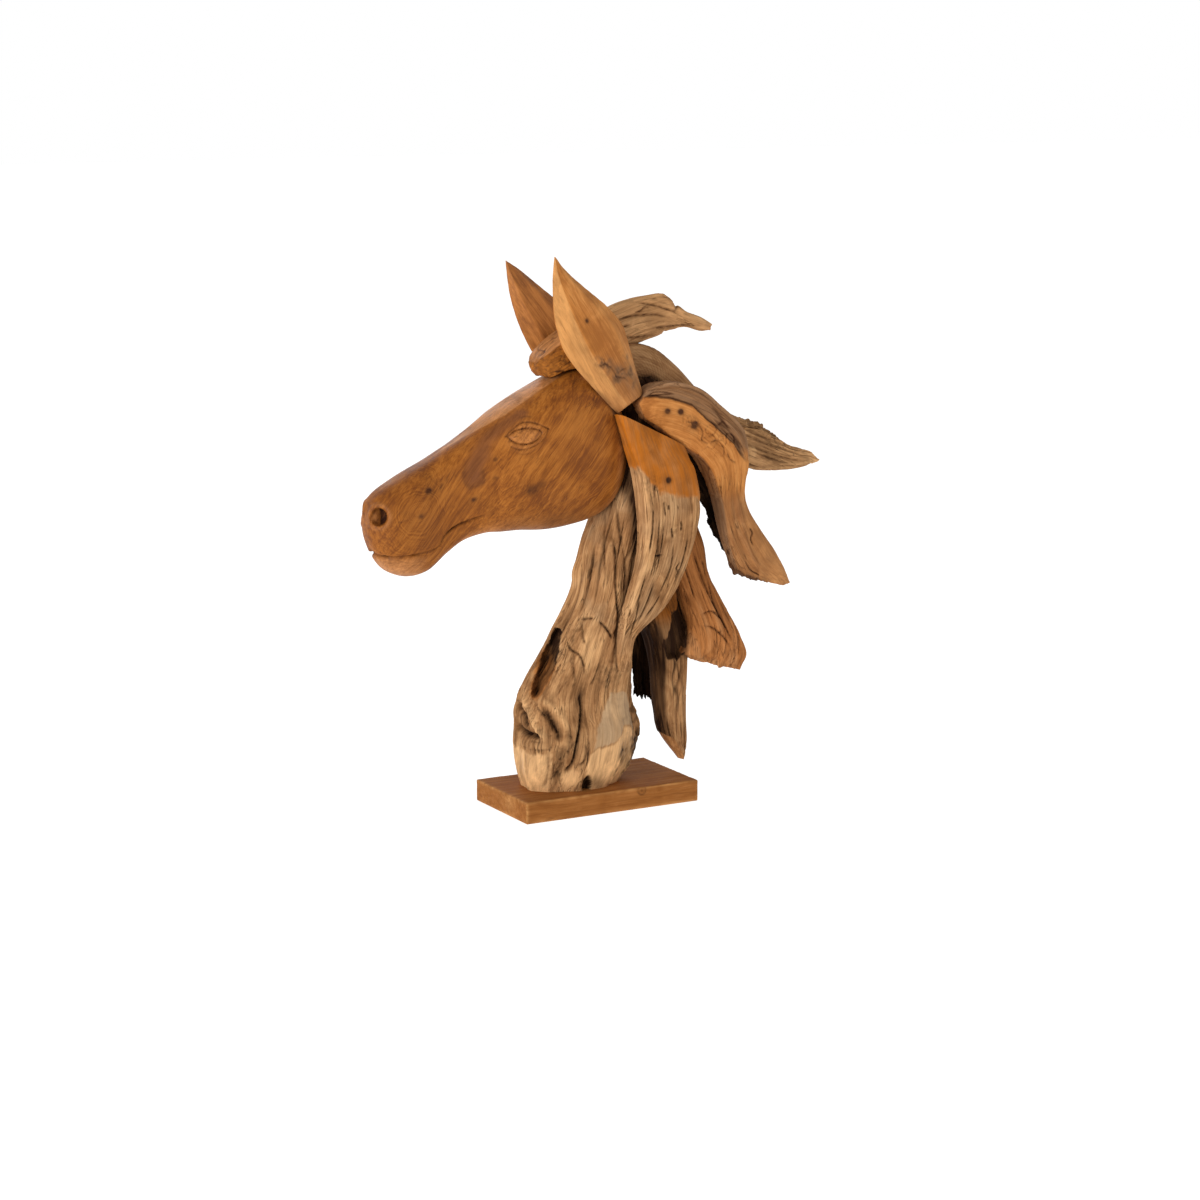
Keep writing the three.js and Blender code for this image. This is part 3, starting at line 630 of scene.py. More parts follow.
# Where the head's carving and marks lie, as x, y and z in steps on its near side.
EYE_MIDDLE = (-121, -50, 493)
EYE_RIM = [
    (-144, -45, 493), (-135, -46, 499), (-123, -49, 503), (-111, -53, 503), (-99, -56, 498),
    (-103, -53, 489), (-113, -52, 484), (-125, -49, 482), (-136, -46, 486), (-144, -45, 493),
]
UPPER_LID = [(-146, -43, 493), (-137, -44, 501), (-121, -43, 509), (-105, -48, 508), (-88, -55, 501)]
LOWER_LID = [(-88, -55, 501), (-96, -57, 489), (-112, -57, 479), (-128, -53, 476), (-140, -49, 480)]
EYE_WRINKLES = [
    [(-141, -50, 475), (-127, -54, 470), (-114, -56, 472), (-103, -57, 479)],
    [(-132, -44, 517), (-116, -44, 518), (-100, -48, 514)],
]
EYE_RISE = 2.2
EYE_SCRATCHES = np.array([12, 2.4, 6]) * MM
EYE_GROOVES = [
    (EYE_RIM, 1.1, 2.0, 0.62, 0), (UPPER_LID, 1.1, 2.2, 0.62, 0), (LOWER_LID, 1.1, 1.8, 0.5, 0),
    *cuts(EYE_WRINKLES, 1.3, 0.7, 0.3, 0.4),
]
MOUTH = [
    (-321, 0, 346), (-314, -13, 345), (-302, -27, 342), (-280, -33, 343), (-257, -34, 346),
    (-239, -30, 352), (-229, -32, 366), (-213, -31, 377), (-192, -31, 383), (-174, -34, 389),
]
MOUTH_NOTCH = [(-323, 0, 346), (-316, -10, 345), (-309, -20, 344)]
MOUTH_GROOVES = [
    (MOUTH, 1.8, 2.4, 0.38, 0), (MOUTH[5:], 2.0, 1.6, 0.5, 0.3), (MOUTH_NOTCH, 2.0, 5.0, 0.5, 0),
]
NOSTRIL = (-315, -16, 396)
NOSTRIL_RADIUS = 13
NOSTRIL_DEPTH = 19
NOSTRIL_TAIL = cuts([[(-303, -23, 391), (-297, -37, 390), (-287, -38, 392)]], 1.3, 0.9, 0.5, 0.3)
HEARTWOOD = [
    (-118, -38, 520), (-146, -36, 508), (-168, -34, 490), (-181, -36, 470), (-189, -37, 455),
    (-190, -37, 441),
]
# The painted highlight on the facet along the top: where its half width is given, and that width, in steps.
RIDGE_HIGHLIGHT = [(-232, 0), (-188, 7), (-165, 17), (-136, 27), (-97, 25), (-64, 22), (-36, 12), (-12, 0)]
# Knots: spot, radius in steps and darkness. Hatched spots: spot and radius.
HEAD_KNOTS = [
    ((-256, -36, 428), 4.2, 0.75), ((-268, -39, 395), 3.4, 0.45), ((-190, -36, 411), 3.2, 0.55),
    ((-161, -44, 464), 2.6, 0.5), ((-161, -44, 439), 2.6, 0.5), ((-112, -53, 421), 7.5, 0.5),
    ((-98, -55, 428), 5, 0.3),
]
HEAD_HATCHED = [((-20, -53, 537), 15), ((-45, -32, 561), 18), ((-232, -32, 437), 16), ((-322, -15, 418), 13)]
MUZZLE_RINGS_AT = (-272, 401)
HEAD_RING_SPACING = 2.2
CHEEK_GRAIN = math.radians(52)
# Its rows stand closer at the eye and the nostril: x and reach in steps, and by how much.
HEAD_FOCUS = [(-120, 34, 0.6), (-310, 30, 0.5)]
HEAD_BULGES = (0.0, 4 * MM)


def carve_eye(head, side):
    rim = head.line(EYE_RIM, side)[0]
    ball = head.spot(EYE_MIDDLE, 17, 1.35, 2.2, side)
    grainy = 1 + 0.5 * head.patchy(4, 2)
    head.relief += EYE_RISE * STEP * ball * (1 - np.exp(-((rim / 3) ** 2))) * grainy
    head.mark("pale", 0.3 * ball)
    scratchy = soft_step(np.abs(head.noise.plain(head.grain / EYE_SCRATCHES)), 0.12, 0.0)
    head.mark("dark", 0.6 * scratchy * head.spot(EYE_MIDDLE, 19, 1.5, 2.2, side))
    head.grooves(EYE_GROOVES, side)


def carve_mouth(head, side):
    head.grooves(MOUTH_GROOVES, side)
    away, share = head.line(MOUTH[:6], side)
    lower_lip = soft_step(8 - away, 0, 8) * soft_step(345 - head.steps()[1], 0, 2)
    head.relief -= 1.6 * STEP * lower_lip * soft_step(1 - share, 0, 0.5)


def carve_nostril(head, side):
    """A cup in a raised lip, deeper and darker towards its back, with painted highlights on the lip and the
    shallow front and painted shade in the deep back.
    """
    offset = (head.points - head.anchor(NOSTRIL, side)[0]) / STEP
    away = np.linalg.norm(offset, axis=-1)
    lip = np.exp(-(((away - NOSTRIL_RADIUS - 3.5) / 3) ** 2))
    cup = soft_step(NOSTRIL_RADIUS - away, 0, 5)
    head.relief += 1.3 * STEP * lip
    # A painted highlight on the raised lip.
    head.mark("pale", 0.25 * lip)
    to_back = soft_step(offset[..., 0], -9, 5)
    inward = (0.5, -0.85 * side, -0.1)
    head.press(inward, NOSTRIL_DEPTH * STEP * cup * (0.3 + 0.7 * to_back))
    deep_side_shade = soft_step(NOSTRIL_RADIUS - 1 - away, 0, 2.5) * soft_step(offset[..., 0], 0, 3)
    # A painted highlight on the cup's shallow front, and painted shade in its deep back.
    head.mark("pale", 0.6 * cup * (1 - to_back))
    head.mark("dark", 0.12 * cup + 1.5 * deep_side_shade)
    head.grooves(NOSTRIL_TAIL, side)


def mark_head_side(head, side):
    """The heartwood patch, the knots, and short dark scratches on the cheek, brow and muzzle."""
    away, share = head.line(HEARTWOOD, side)
    apart = away * (1 + 0.25 * head.patchy(14, 3, side)) / (9 + 6 * share)
    head.mark("grey", 0.85 * np.exp(-(apart**3)))
    head.mark("dark", 0.3 * np.exp(-(((apart - 0.9) / 0.2) ** 2)) * soft_step(share, 0.6, 0.9))
    for spot, size, dark in HEAD_KNOTS:
        eye = head.spot(spot, size, 1.3, 1.6, side) * (1 + 0.5 * head.patchy(3, 2))
        halo = head.spot(spot, 2.3 * size, 1.3, 1.2, side)
        head.mark("dark", dark * eye + 0.22 * dark * halo)
        head.relief -= 0.3 * MM * eye
    hatch = soft_step(head.streaky((20, 1.6, 10), 2), 0.05, 0.5)
    for spot, size in HEAD_HATCHED:
        head.mark("dark", 0.75 * hatch * head.spot(spot, size, 1.2, 1.5, side))


def make_head():
    head = Piece("head", HEAD_FOCUS, HEAD_BULGES)
    x, z = head.steps()
    # The rings of the muzzle run round its side, and the cheek's grain rises towards the back.
    muzzle_ring = np.hypot(x - MUZZLE_RINGS_AT[0], z - MUZZLE_RINGS_AT[1])
    cheek_ring = x * math.sin(CHEEK_GRAIN) - z * math.cos(CHEEK_GRAIN)
    on_cheek = soft_step(x, -240, -150)
    wander = 12 * head.patchy(50)
    head.ring = (muzzle_ring * (1 - on_cheek) + cheek_ring * on_cheek + wander) / HEAD_RING_SPACING
    rise = (x * math.cos(CHEEK_GRAIN) + z * math.sin(CHEEK_GRAIN)) * STEP
    head.grain = np.stack([rise, cheek_ring * STEP, head.points[..., 1]], -1)
    head.relief += 0.7 * MM * head.patchy(45, 2)
    rough = 0.3 + 0.5 * head.patchy(50, 2, 9)
    for side in (-1, 1):
        for step in (carve_eye, carve_mouth, carve_nostril, mark_head_side):
            step(head, side)
    # A painted highlight on the upward facing facet along the top of the head.
    facet = along(RIDGE_HIGHLIGHT, x) + 1.5 * head.patchy(30, 2)
    ridge = soft_step(facet - np.abs(head.points[..., 1]) / STEP, -1.5, 2) * (head.normals[..., 2] > 0)
    head.mark("pale", 0.85 * ridge)
    low_cheek = soft_step(x, -170, -110) * soft_step(410 - z, 0, 45)
    head.mark("dark", 0.33 * low_cheek + 0.12 * soft_step(-x, 225, 265))
    # rim is a painted highlight along the back of the head, where its surface turns half backwards.
    rim = np.exp(-(((head.normals[..., 0] - 0.5) / 0.14) ** 2)) * soft_step(x, -10, 30)
    under_jaw = head.faces(DOWN, 0.35, 0.8) * soft_step(x, -225, -190)
    head.mark("pale", 0.45 * rim + 0.4 * under_jaw)
    # A painted highlight on the downward face of the lower lip.
    chin_highlight = soft_step(344 - z, 0, 8) * soft_step(-x, 245, 275)
    head.mark("pale", 0.8 * chin_highlight * head.faces(DOWN, -0.1, 0.7))
    head.mark("dark", 0.12 * soft_step(head.patchy(30, 3, 3), 0.1, 0.7))
    head.mark("rough", np.clip(rough, 0, 0.6) + soft_step(head.marks["dark"], 0.7, 1))
    return head


# The neck's hollow, burl, creases and patches, as x, y and z in steps.
HOLLOW = [(-47, 3, 212), (-53, 0, 199), (-59, -3, 182), (-63, -6, 164), (-69, -10, 149), (-78, -14, 134)]
HOLLOW_HALF = 15
HOLLOW_DEPTH = 20 * MM
INTO_HOLLOW = (0.55, 0.83, 0.0)
HOLLOW_LEFT_WALL = [(134, -68), (212, -50)]
BURL_FOLDS = 16 * MM
TWISTED_RIDGE = [
    (-94, 4, 130), (-96, -6, 118), (-96, -18, 104), (-94, -30, 92), (-88, -38, 81), (-80, -47, 75),
]
SECOND_RIDGE = [(-87, -33, 127), (-79, -41, 123), (-70, -48, 112), (-62, -52, 96), (-61, -52, 79)]
LOWER_BULGE = [(-98, 21, 64), (-100, -13, 64), (-92, -36, 65), (-80, -47, 69)]
# Ridges: route, half width and height in steps, and how pale.
NECK_RIDGES = [(TWISTED_RIDGE, 4.5, 6, 0.7), (SECOND_RIDGE, 4.5, 3.5, 0.4), (LOWER_BULGE, 8, 4, 0.3)]
NECK_GROOVES = [
    ([(-96, 15, 118), (-97, 13, 113), (-100, 0, 104), (-99, -5, 95), (-98, -12, 88)], 4.5, 10, 1, 0.15),
    ([(-98, 18, 84), (-98, 15, 82), (-99, -8, 79), (-96, -26, 79), (-89, -38, 78)], 4, 9, 1, 0.15),
    ([(-89, -33, 118), (-82, -42, 108), (-76, -47, 94), (-70, -50, 82), (-69, -50, 71)], 4.2, 8, 0.9, 0.15),
    ([(-96, 10, 114), (-99, 0, 104), (-98, -12, 88)], 1.5, 3, 1, 0.2),
    ([(-98, 12, 81), (-98, -10, 78), (-93, -32, 79)], 1.5, 3, 1, 0.2),
    ([(-84, -40, 110), (-77, -46, 96), (-71, -50, 82)], 1.5, 3, 1, 0.2),
    ([(-88, -8, 126), (-84, -30, 112), (-80, -43, 98), (-78, -46, 84)], 1.2, 3, 0.8, 0.2),
    ([(-101, -5, 58), (-98, -27, 59), (-87, -41, 60), (-76, -48, 64)], 1.6, 1.8, 0.35, 0.2),
    ([(-97, -20, 70), (-93, -32, 71), (-84, -43, 73)], 1.4, 1.6, 0.35, 0.2),
    ([(-101, -11, 55), (-102, -16, 33), (-100, -17, 9)], 2.0, 1.6, 0.3, 0.2),
    ([(-84, -46, 58), (-84, -44, 36), (-86, -35, 4)], 2.4, 3.0, 0.55, 0.15),
    ([(-68, -50, 70), (-65, -51, 51), (-68, -48, 32), (-77, -42, 12)], 8, 8, 0.5, 0.2),
    ([(-56, -52, 92), (-56, -53, 66), (-60, -51, 44)], 3.5, 4, 0.45, 0.25),
    (
        [(-40, -53, 138), (-39, -55, 113), (-42, -57, 90), (-47, -56, 65), (-52, -54, 43), (-62, -48, 24)],
        2.0, 8, 0.95, 0.1,
    ),
    ([(-37, -59, 69), (-33, -59, 56), (-38, -58, 42), (-49, -55, 36)], 2.2, 4, 0.5, 0.25),
    ([(-25, -26, 233), (-16, -39, 236), (-1, -49, 227), (12, -51, 206)], 1.6, 5, 0.95, 0.08),
    ([(-25, -26, 233), (-27, -33, 222), (-26, -40, 208), (-23, -45, 196)], 1.6, 3, 0.7, 0.2),
    (
        [(-44, -23, 203), (-43, -34, 195), (-37, -45, 188), (-32, -50, 175), (-31, -51, 160)],
        1.5, 3.5, 0.85, 0.15,
    ),
    ([(-6, -52, 182), (-13, -53, 166), (-18, -54, 155), (-25, -53, 146)], 1.4, 3, 0.8, 0.2),
    ([(-40, -39, 195), (-46, -44, 175), (-46, -50, 155), (-52, -51, 144)], 1.8, 3, 0.6, 0.2),
    ([(19, -27, 362), (21, -42, 324), (19, -47, 275), (21, -50, 235), (12, -56, 200)], 1.8, 5, 0.85, 0.12),
    ([(6, -12, 351), (-2, -19, 308), (-10, -19, 273), (-24, -18, 236)], 1.8, 4, 0.6, 0.2),
    ([(19, -17, 381), (9, -29, 333), (8, -39, 290)], 1.6, 4, 0.7, 0.2),
    ([(31, -22, 400), (30, -38, 350), (33, -44, 300), (30, -48, 258)], 1.8, 4, 0.7, 0.2),
]
# The smooth grey face lies between these edges (z, x), and the sawn foot below this line (x, z).
SMOOTH_LEFT = [(56, -24), (72, -20), (90, -16), (116, -5), (134, 4)]
SMOOTH_RIGHT = [(62, 62), (80, 54), (110, 47), (129, 36), (136, 20)]
SAWN_FOOT_TOP = [(-34, 30), (-26, 52), (-16, 60), (8, 62), (22, 74), (30, 84), (42, 82), (54, 66), (66, 60)]
# Along the near slab the neck gets painted shadow, from this line (z, x) on.
BESIDE_SLAB = [(200, 27), (234, 34), (268, 44), (306, 55), (346, 59), (382, 57), (430, 50)]
ROOT_TIP = ((-53, -51, 19), 11)
ROOT_NOTCH = (-29, -52, 6)
NOTCH_SIZE = np.array([7, 16, 17]) * STEP
NOTCH_DEPTH = 13 * MM
NECK_STAINS = [
    ("dark", 0.7, (-40, -53, 132), 5, 2.4, 1, False),
    ("dark", 0.55, (2, -55, 158), 17, 1.3, 1.4, True),
    ("dark", 0.4, (-12, -54, 8), 11, 0.8, 1, False),
    ("dark", 0.3, (-100, 0, 92), 10, 1.2, 1, False),
    ("dark", 0.45, (-34, -30, 218), 9, 2.0, 1, True),
    ("pale", 0.35, (-18, -49, 200), 15, 2.0, 1.6, False),
]


def rot_neck(neck, height, x):
    """The rotted hollow at the front, painted black within as the shade of its depth and brown on its left
    wall, and the root's notch.
    """
    away, share = neck.line(HOLLOW)
    half = HOLLOW_HALF * (0.4 + 0.6 * np.sin(math.pi * np.clip(share * 0.8 + 0.05, 0, 1)))
    bowl = away / half * (1 + 0.3 * neck.patchy(14))
    neck.press(INTO_HOLLOW, HOLLOW_DEPTH * soft_step(1.15 - bowl, 0, 0.7))
    to_left = soft_step(along(HOLLOW_LEFT_WALL, height) - x, 0, 7)
    neck.mark("warm", 0.6 * soft_step(1.5 - bowl, 0, 0.4) * to_left)
    streaks = 0.75 + 0.35 * neck.streaky((50, 3, 3), 2)
    # Painted shade: the hollow's core is black.
    neck.mark("dark", soft_step(1.12 - bowl, 0, 0.25) * (1 - 0.6 * to_left * streaks))
    gap = np.linalg.norm((neck.points - neck.anchor(ROOT_NOTCH)[0]) / NOTCH_SIZE, axis=-1)
    neck.press((0, 1, 0), NOTCH_DEPTH * soft_step(1.1 - gap, 0, 0.5))
    neck.mark("dark", soft_step(1.15 - gap, 0, 0.3))


def ragged_foot(neck, height):
    """The back edge of the foot is pressed in, ragged and dark."""
    edge = neck.faces(BACK, 0.2, 0.8) * soft_step(150 - height, 0, 60)
    neck.relief -= 6 * MM * neck.faces(BACK, 0.1, 0.8) * np.exp(-(((height - 88) / 36) ** 2))
    neck.relief += 5 * MM * edge * neck.streaky((30, 6, 6))
    neck.mark("dark", 0.75 * edge * soft_step(neck.patchy(12, 3, 5), -0.3, 0.4))
    neck.mark("dark", 0.7 * edge * np.exp(-(((height - 50) / 14) ** 2)))


def make_neck():
    neck = Piece("neck")
    x, height = neck.steps()
    near = neck.faces(NEAR, -0.1, 0.2)
    wavy = 3 * neck.patchy(12)
    foot_top = along(SAWN_FOOT_TOP, x) + wavy
    sawn = soft_step(foot_top - height, -1, 3) * soft_step(x, -36, -28) * near
    smooth = soft_step(x + wavy - along(SMOOTH_LEFT, height), -1, 4) * near
    smooth *= soft_step(along(SMOOTH_RIGHT, height) - x + wavy, -1, 4)
    smooth *= soft_step(height - foot_top, -1, 3) * soft_step(134 - height + wavy, -1, 4)
    left_foot = soft_step(56 - height + 2 * wavy, -2, 5) * soft_step(-80 - x + wavy, -2, 3)
    sawn = np.clip(sawn + left_foot + neck.spot(*ROOT_TIP, 1.2, 2.0), 0, 1)
    calm = 1 - 0.92 * np.clip(smooth + sawn, 0, 1)
    burl = neck.spot((-90, -20, 90), 42, 1.0, 1.6)
    neck.weather(calm)
    folds = neck.noise.creased(neck.points / BURL_FOLDS + 4)
    neck.relief += 2.6 * MM * burl * calm * (folds - 0.5)
    neck.mark("pale", 0.4 * burl * soft_step(neck.patchy(11, 2, 6), 0, 0.5))
    neck.mark("dark", 0.5 * burl * soft_step(0.25 - folds, 0, 0.2))
    neck.mark("grey", 0.45 * soft_step(neck.patchy(50), 0.0, 0.6) * soft_step(height, 120, 260))
    neck.cracks(calm)
    tint = neck.streaky((110, 22, 22), 3, 8)
    neck.mark("pale", 0.28 * soft_step(tint, 0.0, 0.6))
    neck.mark("dark", 0.22 * soft_step(-tint, 0.05, 0.6))
    for route, width, rise, pale in NECK_RIDGES:
        away, share = neck.line(route)
        crest = np.exp(-((away / width) ** 2)) * soft_step(1 - share, 0, 0.2) * soft_step(share, -0.01, 0.15)
        neck.relief += rise * STEP * crest
        neck.mark("pale", pale * crest)
    neck.grooves(NECK_GROOVES)
    neck.stain(NECK_STAINS, soft_step(neck.patchy(6), -0.25, 0.5))

    # The smooth grey face and the pale sawn faces of the foot.
    neck.mark("grey", 0.95 * smooth)
    neck.mark("pale", 0.95 * sawn - 0.5 * neck.marks["dark"])
    neck.relief += 4 * STEP * neck.spot((-11, 9, 294), 7, 2.2, 1.5)

    rot_neck(neck, height, x)
    ragged_foot(neck, height)
    beside = x - along(BESIDE_SLAB, height) + 0.7 * wavy
    shade = soft_step(beside, -23, -7) * soft_step(height, 196, 250) * near
    # Painted shade at the top of the neck under the head, and painted shadow beside the near slab.
    neck.mark("dark", soft_step(height, 455, 500) + shade * (0.62 + 0.3 * soft_step(height, 300, 380)))
    neck.mark("rough", calm)
    neck.relief *= soft_step(height, -1, 6) * 0.85 + 0.15
    return neck


# The sawn top of the near slab ends along this line, as x and z in steps.
SAWN_EDGE = [(38, 442), (52, 424), (64, 408), (83, 404), (129, 396)]
SLAB_CRACKS = cuts([
    [(72, 398), (73, 386), (75, 374)], [(79, 392), (79, 384)], [(100, 368), (101, 360), (100, 352)],
    [(84, 360), (86, 352), (88, 342)], [(66, 380), (63, 335), (52, 286)], [(72, 372), (69, 332), (60, 292)],
    [(90, 340), (84, 300), (66, 262)], [(112, 350), (104, 310), (88, 270)], [(56, 396), (55, 360), (50, 320)],
    [(40, 268), (34, 236), (26, 204)], [(62, 290), (50, 256), (34, 222)], [(48, 300), (40, 272), (33, 250)],
    [(58, 322), (66, 321), (74, 323)], [(74, 270), (60, 250), (48, 236)],
], 1.2, 3.2, 0.95, 0.25)
SLAB_KNOTS = [((79, 424), 4.2)]
SLAB_STAINS = [("dark", 0.7, (55, 416), 11, 1.6, 1, True), ("dark", 0.5, (94, 356), 11, 0.8, 1, True)]


def make_near_slab():
    slab = Piece("neck_slab_near")
    x, z = slab.steps()
    sawn = soft_step(z - along(SAWN_EDGE, x) - 6 * slab.patchy(14), -3, 4)
    aged = 1 - sawn
    slab.weather(aged)
    slab.relief -= 1.2 * MM * aged
    slab.cracks(aged)
    slab.grooves(SLAB_CRACKS)
    slab.knots(SLAB_KNOTS)
    slab.stain(SLAB_STAINS, soft_step(slab.patchy(5), -0.2, 0.4))
    slab.mark("warm", sawn * (0.9 + 0.3 * slab.patchy(30)))
    slab.mark("grey", aged * (0.1 + 0.35 * slab.patchy(50)))
    # Its left edge is worn down to a smooth pale strip.
    strip = slab.faces(FRONT, 0.2, 0.7) * slab.faces(NEAR, 0.05, 0.4) * aged
    slab.mark("pale", 0.3 * strip)
    slab.mark("rough", aged * (1 - 0.5 * strip))
    return slab


def make_far_slab():
    slab = Piece("neck_slab_far")
    z = slab.steps()[1]
    slab.weather()
    slab.relief -= FAR_SLAB_SUNK
    low = soft_step(170 - z, 0, 70)
    slab.relief += 5 * MM * low * slab.patchy(8)
    slab.press((0.05, 0, -1), FRAYED_END * soft_step(118 - z, 0, 14) * slab.patchy(5.5, 3, 3))
    slab.mark("dark", 0.4 * low)
    slab.mark("pale", 0.5 * soft_step(slab.streaky((200, 30, 30)), 0.1, 0.6) * (1 - low))
    slab.cracks()
    slab.mark("rough", 1)
    return slab


# The near ear's foot is sawn off at a plane through this point.
EAR_FOOT = (20, -50, 514)
EAR_FOOT_OUTWARD = (0.47, 0.43, -0.77)
EAR_CRACKS = cuts([
    [(-24, 589), (-16, 583), (-8, 584), (4, 575), (10, 567), (22, 564), (34, 556)],
    [(10, 568), (18, 575), (28, 577)],
    [(-9, 584), (-12, 592)],
], 1.2, 1.2, 0.8, 0.25)
EAR_KNOTS = [((-38, 644), 3)]
# Blotches: spot, radius in steps and amount.
EAR_BLOTCHES = [
    ((33, 570), 8, 1), ((26, 590), 6, 0.7), ((-9, 583), 11, 0.8), ((-22, 588), 7, 0.7), ((12, 570), 10, 0.8),
    ((34, 556), 7, 0.6), ((7, 561), 6, 0.5),
]


def make_ear(name):
    ear = Piece(name)
    side = -1 if name == "ear_near" else 1
    ear.saw_off(np.array(EAR_FOOT) * [1, -side, 1], np.array(EAR_FOOT_OUTWARD) * [1, side, 1])
    z = ear.steps()[1]
    ear.relief += 0.5 * MM * ear.patchy(30, 2)
    ear.relief += 0.35 * MM * ear.streaky((60, 4, 4), 2)
    across = ear.grain[..., 1] / np.maximum(np.abs(ear.grain[..., 1]).max(1, keepdims=True), 1e-6)
    outer = soft_step(ear.normals[..., 1] * side, 0.0, 0.3)
    facet = soft_step(-0.42 - across, -0.02, 0.03) * outer
    if side < 0:
        ear.mark("grey", 0.4 * soft_step(600 - z, 0, 40))
        ear.mark("pale", 0.95 * facet * (1 - soft_step(560 - z, 0, 60)))
        ear.mark("pale", 0.3 * soft_step(across, 0.1, 0.7) * outer)
        ear.mark("warm", 0.35 * soft_step(-across, -0.2, 0.3) * outer * (1 - facet))
        ear.knots(EAR_KNOTS, 0.75)
        blotch = soft_step(ear.patchy(9, 4), -0.5, 0.3)
        ear.grooves(EAR_CRACKS)
        for spot, size, amount in EAR_BLOTCHES:
            stain = amount * ear.spot(spot, size, 1.1, 1.4) * blotch
            ear.mark("grey", stain)
            ear.mark("dark", 0.75 * stain * blotch)
    else:
        ear.mark("pale", 0.3 + 0.4 * facet)
    ear.mark("rough", 0.25)
    return ear


def make_forelock():
    lock = Piece("forelock")
    lock.weather()
    lock.relief += 0.7 * MM * lock.patchy(9)
    lock.cracks()
    top = lock.faces(UP, 0.45, 0.7)
    lock.relief *= 1 - 0.7 * top
    lock.mark("pale", 0.85 * top)
    lock.mark("dark", (1 - top) * 0.55 * soft_step(lock.patchy(6), -0.1, 0.6))
    lock.mark("warm", 0.5 * (1 - top))
    lock.mark("rough", 0.8 - 0.4 * top)
    return lock


CREST_SPLITS = cuts([
    [(-10, 640), (30, 634), (62, 640), (100, 640), (134, 634)],
    [(66, 658), (98, 655), (126, 646), (150, 640)],
    [(96, 622), (124, 622), (150, 622), (176, 620)],
    [(40, 612), (70, 610), (104, 612)],
    [(20, 630), (44, 626), (66, 628)],
], 1.6, 4.5, 0.6, 0.2)
UPPER_LAYER = [(60, 640), (134, 634), (150, 652)]
LOWER_LAYER = [(90, 616), (122, 622), (180, 622)]


def make_crest():
    lock = Piece("crest_lock")
    x, z = lock.steps()
    lock.weather()
    lock.cracks()
    lock.grooves(CREST_SPLITS)
    # An upper layer and a lower one break off before the tip.
    upper = soft_step(z - along(UPPER_LAYER, x), 0, 4)
    lower = soft_step(along(LOWER_LAYER, x) - z, 0, 4)
    lock.relief -= 3.5 * MM * upper * soft_step(x, 136, 144)
    lock.relief -= 3.0 * MM * lower * soft_step(x, 118, 126)
    lock.mark("dark", 0.6 * upper * soft_step(x, 134, 142) * soft_step(160 - x, 0, 12))
    lock.mark("pale", 0.4 + 0.35 * soft_step(lock.streaky((120, 20, 20)), -0.2, 0.5))
    lock.mark("warm", 0.3)
    lock.mark("rough", 0.7)
    return lock


UPPER_SPLITS = cuts([
    [(216, 486), (262, 468), (310, 450), (352, 432)], [(230, 474), (270, 456), (318, 440), (362, 424)],
    [(224, 462), (268, 444), (320, 428), (358, 420)], [(240, 450), (280, 434), (322, 420)],
    [(150, 556), (180, 524), (208, 500)], [(196, 512), (220, 494), (246, 480)],
], 1.4, 3.0, 0.5, 0.25)
SAW_MIDDLE = (40, 545)


def make_upper():
    lock = Piece("upper_lock")
    x, z = lock.steps()
    end = soft_step(x, 190, 245)
    lock.weather(0.3 + 0.7 * end)
    # Curved saw scratches on its broad start, which is brown and dull.
    start = lock.spot((90, 574), 38, 1.0, 2.0)
    swirl = np.hypot(x - SAW_MIDDLE[0], z - SAW_MIDDLE[1])
    scratch = 1 - np.abs(np.sin(swirl * 0.9 + 1.5 * lock.patchy(20)))
    lock.relief -= 0.8 * MM * start * scratch**2
    lock.mark("dark", 0.3 * start * scratch**2 + 0.1 * (1 - end))
    lock.mark("pale", 0.3 * end + 0.4 * soft_step(x, 330, 378))
    lock.cracks(0.3 + 0.7 * end)
    lock.grooves(UPPER_SPLITS)
    # Its upper edge is broken and rough, with a pale boss below.
    top = lock.faces(UP, 0.1, 0.6) * soft_step(x, 240, 252) * soft_step(310 - x, 0, 14)
    lock.relief += 6 * MM * top * np.maximum(lock.patchy(8), -0.3)
    lock.mark("dark", 0.3 * top)
    boss = lock.spot((254, 442), 8, 1.0, 2.0)
    lock.relief += 3 * MM * boss
    lock.mark("pale", 0.6 * boss)
    lock.mark("rough", 0.45 + 0.5 * end)
    return lock


# The weathered upper edge of the kneed lock lies above this line.
KNEE_BEVEL = [(40, 536), (55, 537), (89, 533), (122, 521), (143, 502), (165, 484), (186, 466), (206, 440)]
PRONG_RIDGE = [(186, 424), (195, 387), (203, 352), (212, 321), (228, 294)]
# The same ridge as z and x.
PRONG_EDGE = [(290, 230), (321, 212), (352, 203), (387, 195), (424, 187)]
PRONG_CRACK = cuts([[(214, 348), (219, 340), (216, 332), (221, 322)]], 1.2, 3, 0.95, 0.15)
PLATE_SIZE = 13 * MM
KNEE_PLATES = cuts([
    [(128, 500), (138, 486), (136, 474), (148, 468)], [(148, 468), (158, 472), (170, 462), (172, 448)],
    [(150, 500), (162, 492), (172, 496), (184, 484)], [(172, 474), (180, 480), (190, 472), (188, 456)],
    [(176, 455), (182, 445), (192, 438)], [(144, 478), (154, 482), (160, 490)],
], 1.1, 1.6, 0.55, 0.15)
KNEE_KNOTS = [((83, 516), 4), ((103, 515), 4.2), ((125, 496), 5)]
KNEE_STAINS = [("dark", 0.6, (118, 499), 9, 1.6, 1, True), ("dark", 0.35, (72, 508), 8, 1, 1, True)]


